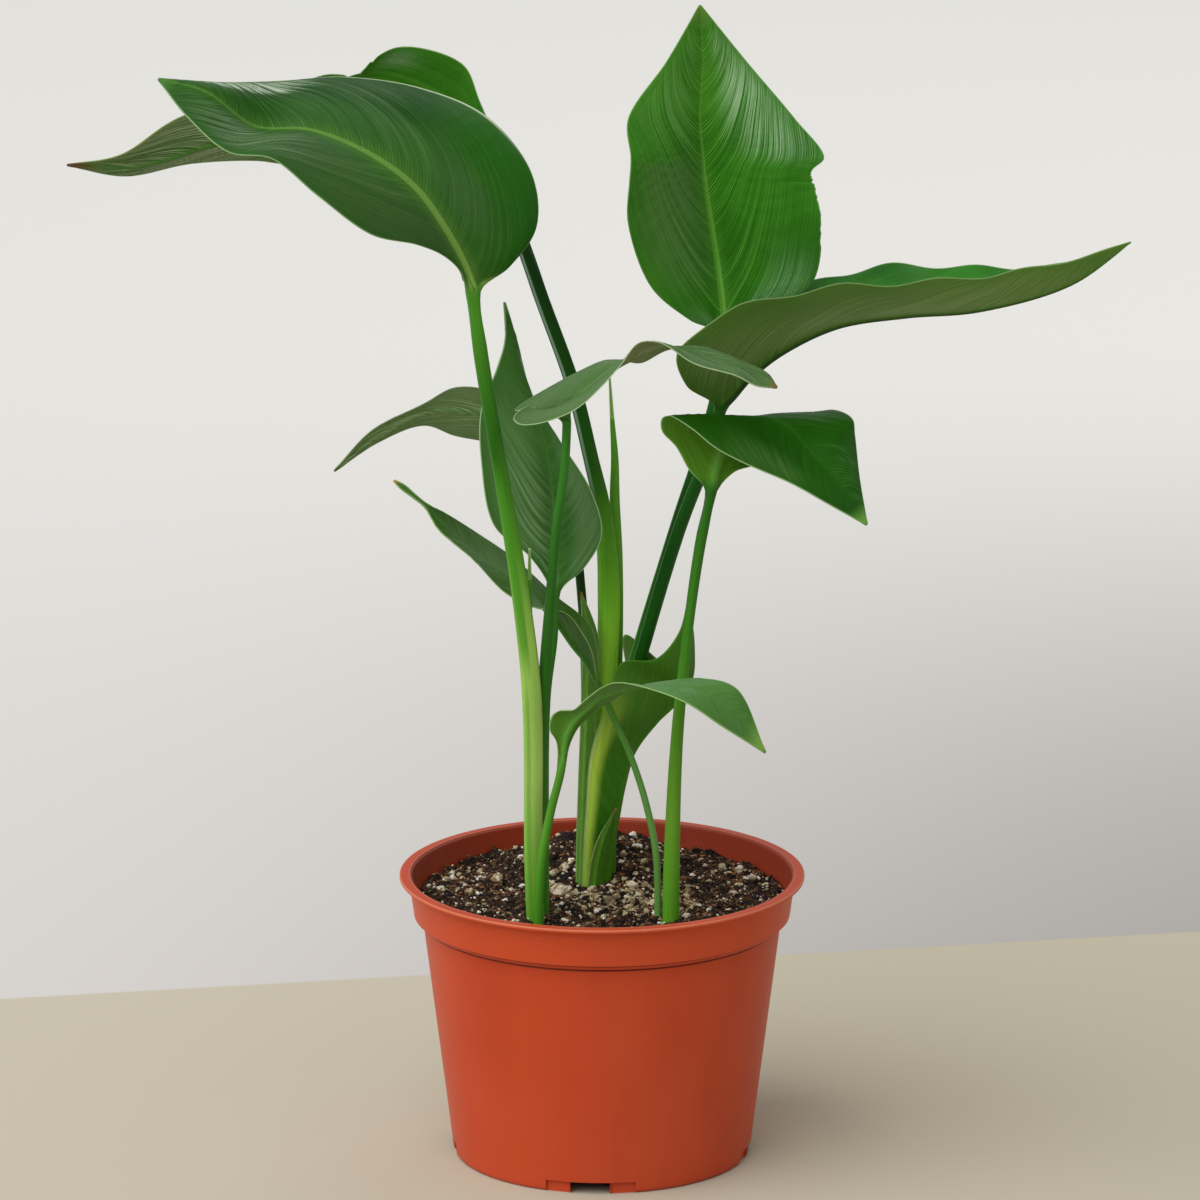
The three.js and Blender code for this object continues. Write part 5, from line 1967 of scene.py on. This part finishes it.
    def _lumps(self) -> bpy.types.Object:
        """The few larger pale lumps, each where the photograph shows it.

        Returns:
            One object with all the lumps.
        """
        shape = bmesh.new()
        for number, (x, y, size) in enumerate(self.lumps):
            foot = Vector((x, y, self.level_at(x, y) + self.lump_rise * size))
            shift = Vector((7.1 * number, 3.3, 1.7 * number))
            turn = Matrix.Rotation(1.9 * number, 4, "Z")
            for vert in bmesh.ops.create_icosphere(shape, subdivisions=4, radius=0.5)["verts"]:
                spot = vert.co.normalized()
                broad = noise.noise(spot * 1.3 + shift)
                fine = noise.fractal(spot * 3.0 + shift, 0.7, 2.1, 4)
                out = spot * (0.5 + 0.22 * broad + 0.07 * fine)
                place = Vector([out[i] * self.lump_shape[i] for i in range(3)]) * size
                vert.co = (turn @ place + foot) * MM
        piece = stand_shape("pale_lumps", shape)
        piece.data.shade_smooth()
        piece.data.materials.append(self.pale.material())
        return piece

    def _turn(self) -> np.ndarray:
        """Angles of the points of a ring."""
        return np.linspace(0.0, 2.0 * math.pi, self.sides, endpoint=False)

    def _edge(self) -> float:
        """Radius of the bed's top."""
        return self.pot.collar_low - self.pot.wall - self.clearance

    def _walls(self) -> list[np.ndarray]:
        """Flat rings of points up the bed's wall, just inside the pot.

        Returns:
            The rings, from the underside up.
        """
        pot, turn = self.pot, self._turn()
        wall_top = pot.collar_bottom - 1.1
        flat = [
            (pot.outer(5.0) - pot.wall - 2.0, pot.floor + self.above_floor),
            (pot.outer(8.0) - pot.wall - self.clearance, 8.0),
            (pot.outer(wall_top) - pot.wall - 0.4, wall_top),
            (self._edge() - 0.3, pot.collar_bottom + 1.3),
        ]
        across, deep = np.cos(turn), np.sin(turn)
        return [np.stack([r * across, r * deep, np.full_like(turn, z)], axis=1) for r, z in flat]

    def _tops(self) -> list[np.ndarray]:
        """Rings of points over the bed's top.

        Returns:
            The rings, from the edge in.
        """
        turn = self._turn()
        rings = []
        for ring in range(self.rings):
            radius = self._edge() * (1.0 - ring / self.rings)
            x = radius * np.cos(turn)
            y = radius * np.sin(turn)
            rings.append(np.stack([x, y, self.height(x, y)], axis=1))
        return rings

    def _mesh(self, name: str, rings: list[np.ndarray], low: float | None) -> bpy.types.Object:
        """A mesh of rings that closes on a point at the top.

        Args:
            name: The object's name.
            rings: Its rings of points, from the outside or the underside in.
            low: Height of the point that closes the underside, or None where it stays open.

        Returns:
            The object.
        """
        count = self.sides
        points = np.concatenate(rings)
        verts = [*points.tolist(), [0.0, 0.0, self.level_at(0.0, 0.0)]]
        if low is not None:
            verts.append([0.0, 0.0, low])
        last = (len(rings) - 1) * count
        top = len(points)
        faces: list[tuple[int, ...]] = []
        for start in range(0, last, count):
            for side in range(count):
                a, b = start + side, start + (side + 1) % count
                faces.append((a, b, b + count, a + count))
        for side in range(count):
            after = (side + 1) % count
            faces.append((last + side, last + after, top))
            if low is not None:
                faces.append((after, side, top + 1))
        mesh = bpy.data.meshes.new(name)
        mesh.from_pydata((np.array(verts) * MM).tolist(), [], faces)
        mesh.shade_smooth()
        return stand(name, mesh)

    @staticmethod
    def _scatter(top: bpy.types.Object, kind: GrainKind) -> bpy.types.Object:
        """Runs the scatter for one kind and keeps its result as a plain mesh.

        Args:
            top: The open top of the bed.
            kind: The grains.

        Returns:
            The grains as one object.
        """
        tree = GrainTree("scatter_" + kind.name).build(kind.faces)
        carrier = stand("carrier", top.data)
        modifier = carrier.modifiers.new("scatter", "NODES")
        modifier.node_group = tree
        values = {
            "Density": kind.density, "Small": kind.small * MM, "Large": kind.large * MM,
            "Stretch": kind.stretch, "Rough": kind.rough, "Sink": kind.sink,
            "Cluster": kind.cluster, "Seed": kind.seed, "Material": kind.finish.material(),
        }
        for item in tree.interface.items_tree:
            if item.item_type == "SOCKET" and item.in_out == "INPUT" and item.name in values:
                modifier[item.identifier] = values[item.name]
        carrier.update_tag()
        view = bpy.context.evaluated_depsgraph_get()
        mesh = bpy.data.meshes.new_from_object(carrier.evaluated_get(view))
        mesh.name = kind.name
        carrier.modifiers.clear()
        bpy.data.objects.remove(carrier)
        return stand(kind.name, mesh)


@dataclass(frozen=True)
class Lamp:
    """A soft square lamp: where it stands, its side and its power in watts."""

    name: str
    place: Point
    side: float
    power: float


@dataclass
class Studio:
    """Camera, table, backdrop and lights."""

    target: Point = (-0.8, 0.0, 225.0)
    distance: float = 3000.0
    pitch: float = 14.3
    focal_px: float = 7662.0
    edge_left: Pair = (-245.0, 200.0)
    edge_right: Pair = (255.0, 296.0)
    edge_soft: float = 1.5
    reach: float = 9000.0
    shade_across: Pair = (-350.0, 420.0)
    shade_back: Pair = (150.0, 1500.0)
    table_left: str = "bfb8a6"
    table_right: str = "b5ae99"
    backdrop_far: str = "d6d5d1"
    backdrop_left: str = "cdc9c6"
    backdrop_right: str = "a09c98"
    white: Colour = (1.0, 0.995, 0.985, 1.0)
    ambient: float = 0.47
    sun_strength: float = 2.55
    sun_width: float = 70.0
    sun_rise: float = 50.0
    sun_turn: float = 50.0
    lamps: tuple[Lamp, ...] = (
        Lamp("fill", (1900.0, -1500.0, 900.0), 1500.0, 0.5),
        Lamp("back", (900.0, 1700.0, 2100.0), 1300.0, 7.0),
    )

    def build(self) -> None:
        """Makes everything that isn't part of the object."""
        self._camera()
        self._floor()
        self._world()
        for lamp in self.lamps:
            self._light(lamp)
        self._sun()

    def _camera(self) -> None:
        """The camera at the photograph's viewing angle."""
        data = bpy.data.cameras.new("photo_camera")
        data.sensor_width = SENSOR_MM
        data.lens = self.focal_px * SENSOR_MM / PHOTO_SIDE
        data.clip_end = 60.0
        camera = stand("photo_camera", data)
        tilt = math.radians(self.pitch)
        away = Vector((0.0, -math.cos(tilt), math.sin(tilt)))
        camera.location = (Vector(self.target) + away * self.distance) * MM
        camera.rotation_euler = (math.radians(90.0 - self.pitch), 0.0, 0.0)
        bpy.context.scene.camera = camera

    def _floor(self) -> None:
        """A wide floor: the beige table, and the pale backdrop past the table's far edge."""
        size = self.reach * MM
        mesh = bpy.data.meshes.new("floor")
        corners = [(-size, -size, 0), (size, -size, 0), (size, size, 0), (-size, size, 0)]
        mesh.from_pydata(corners, [], [(0, 1, 2, 3)])
        floor = stand("floor", mesh)
        floor.data.materials.append(self._floor_finish())

    def _floor_finish(self) -> bpy.types.Material:
        """Matt table and backdrop that meet at the table's far edge.

        Returns:
            A material that reads Object coordinates.
        """
        graph = Graph("floor")
        x, y, _ = graph.split(graph.place())
        run = self.edge_right[0] - self.edge_left[0]
        slope = (self.edge_right[1] - self.edge_left[1]) / run
        beyond = y - (x - self.edge_left[0]) * slope - self.edge_left[1]
        # The table darker to the right and the backdrop darker low and to the right: painted shade.
        rightness = x.step(*self.shade_across)
        table = graph.mix(rightness, paint(self.table_left), paint(self.table_right))
        near = graph.mix(rightness, paint(self.backdrop_left), paint(self.backdrop_right))
        backdrop = graph.mix(y.step(*self.shade_back), near, paint(self.backdrop_far))
        colour = graph.mix(beyond.step(-self.edge_soft, self.edge_soft), table, backdrop)
        return graph.surface(Base_Color=colour, Roughness=0.8, Specular_IOR_Level=0.0)

    def _world(self) -> None:
        """Even white light from all round."""
        world = bpy.data.worlds.new("studio")
        world.use_nodes = True
        background = world.node_tree.nodes["Background"]
        background.inputs["Color"].default_value = self.white
        background.inputs["Strength"].default_value = self.ambient
        bpy.context.scene.world = world
        bpy.context.scene.view_settings.view_transform = "Standard"
        bpy.context.scene.view_settings.look = "None"

    def _sun(self) -> None:
        """The wide soft key light from the upper left in front."""
        data = bpy.data.lights.new("key", "SUN")
        data.energy = self.sun_strength
        data.angle = math.radians(self.sun_width)
        turns = (90.0 - self.sun_rise, 0.0, -self.sun_turn)
        stand("key", data).rotation_euler = [math.radians(turn) for turn in turns]

    def _light(self, lamp: Lamp) -> None:
        """A soft square lamp that faces the middle of the plant.

        Args:
            lamp: What it is like.
        """
        data = bpy.data.lights.new(lamp.name, "AREA")
        data.size = lamp.side * MM
        data.energy = lamp.power
        piece = stand(lamp.name, data)
        piece.location = Vector(lamp.place) * MM
        aim = Vector(self.target) * MM - piece.location
        piece.rotation_euler = aim.to_track_quat("-Z", "Y").to_euler()


def main() -> None:
    """Builds the scene around the frame."""
    logging.basicConfig(level=logging.INFO, format="%(name)s: %(message)s")
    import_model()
    Studio().build()
    pot = NurseryPot()
    pot.build()
    SoilBed(pot).build()
    Plant().build()


if __name__ == "__main__":
    main()
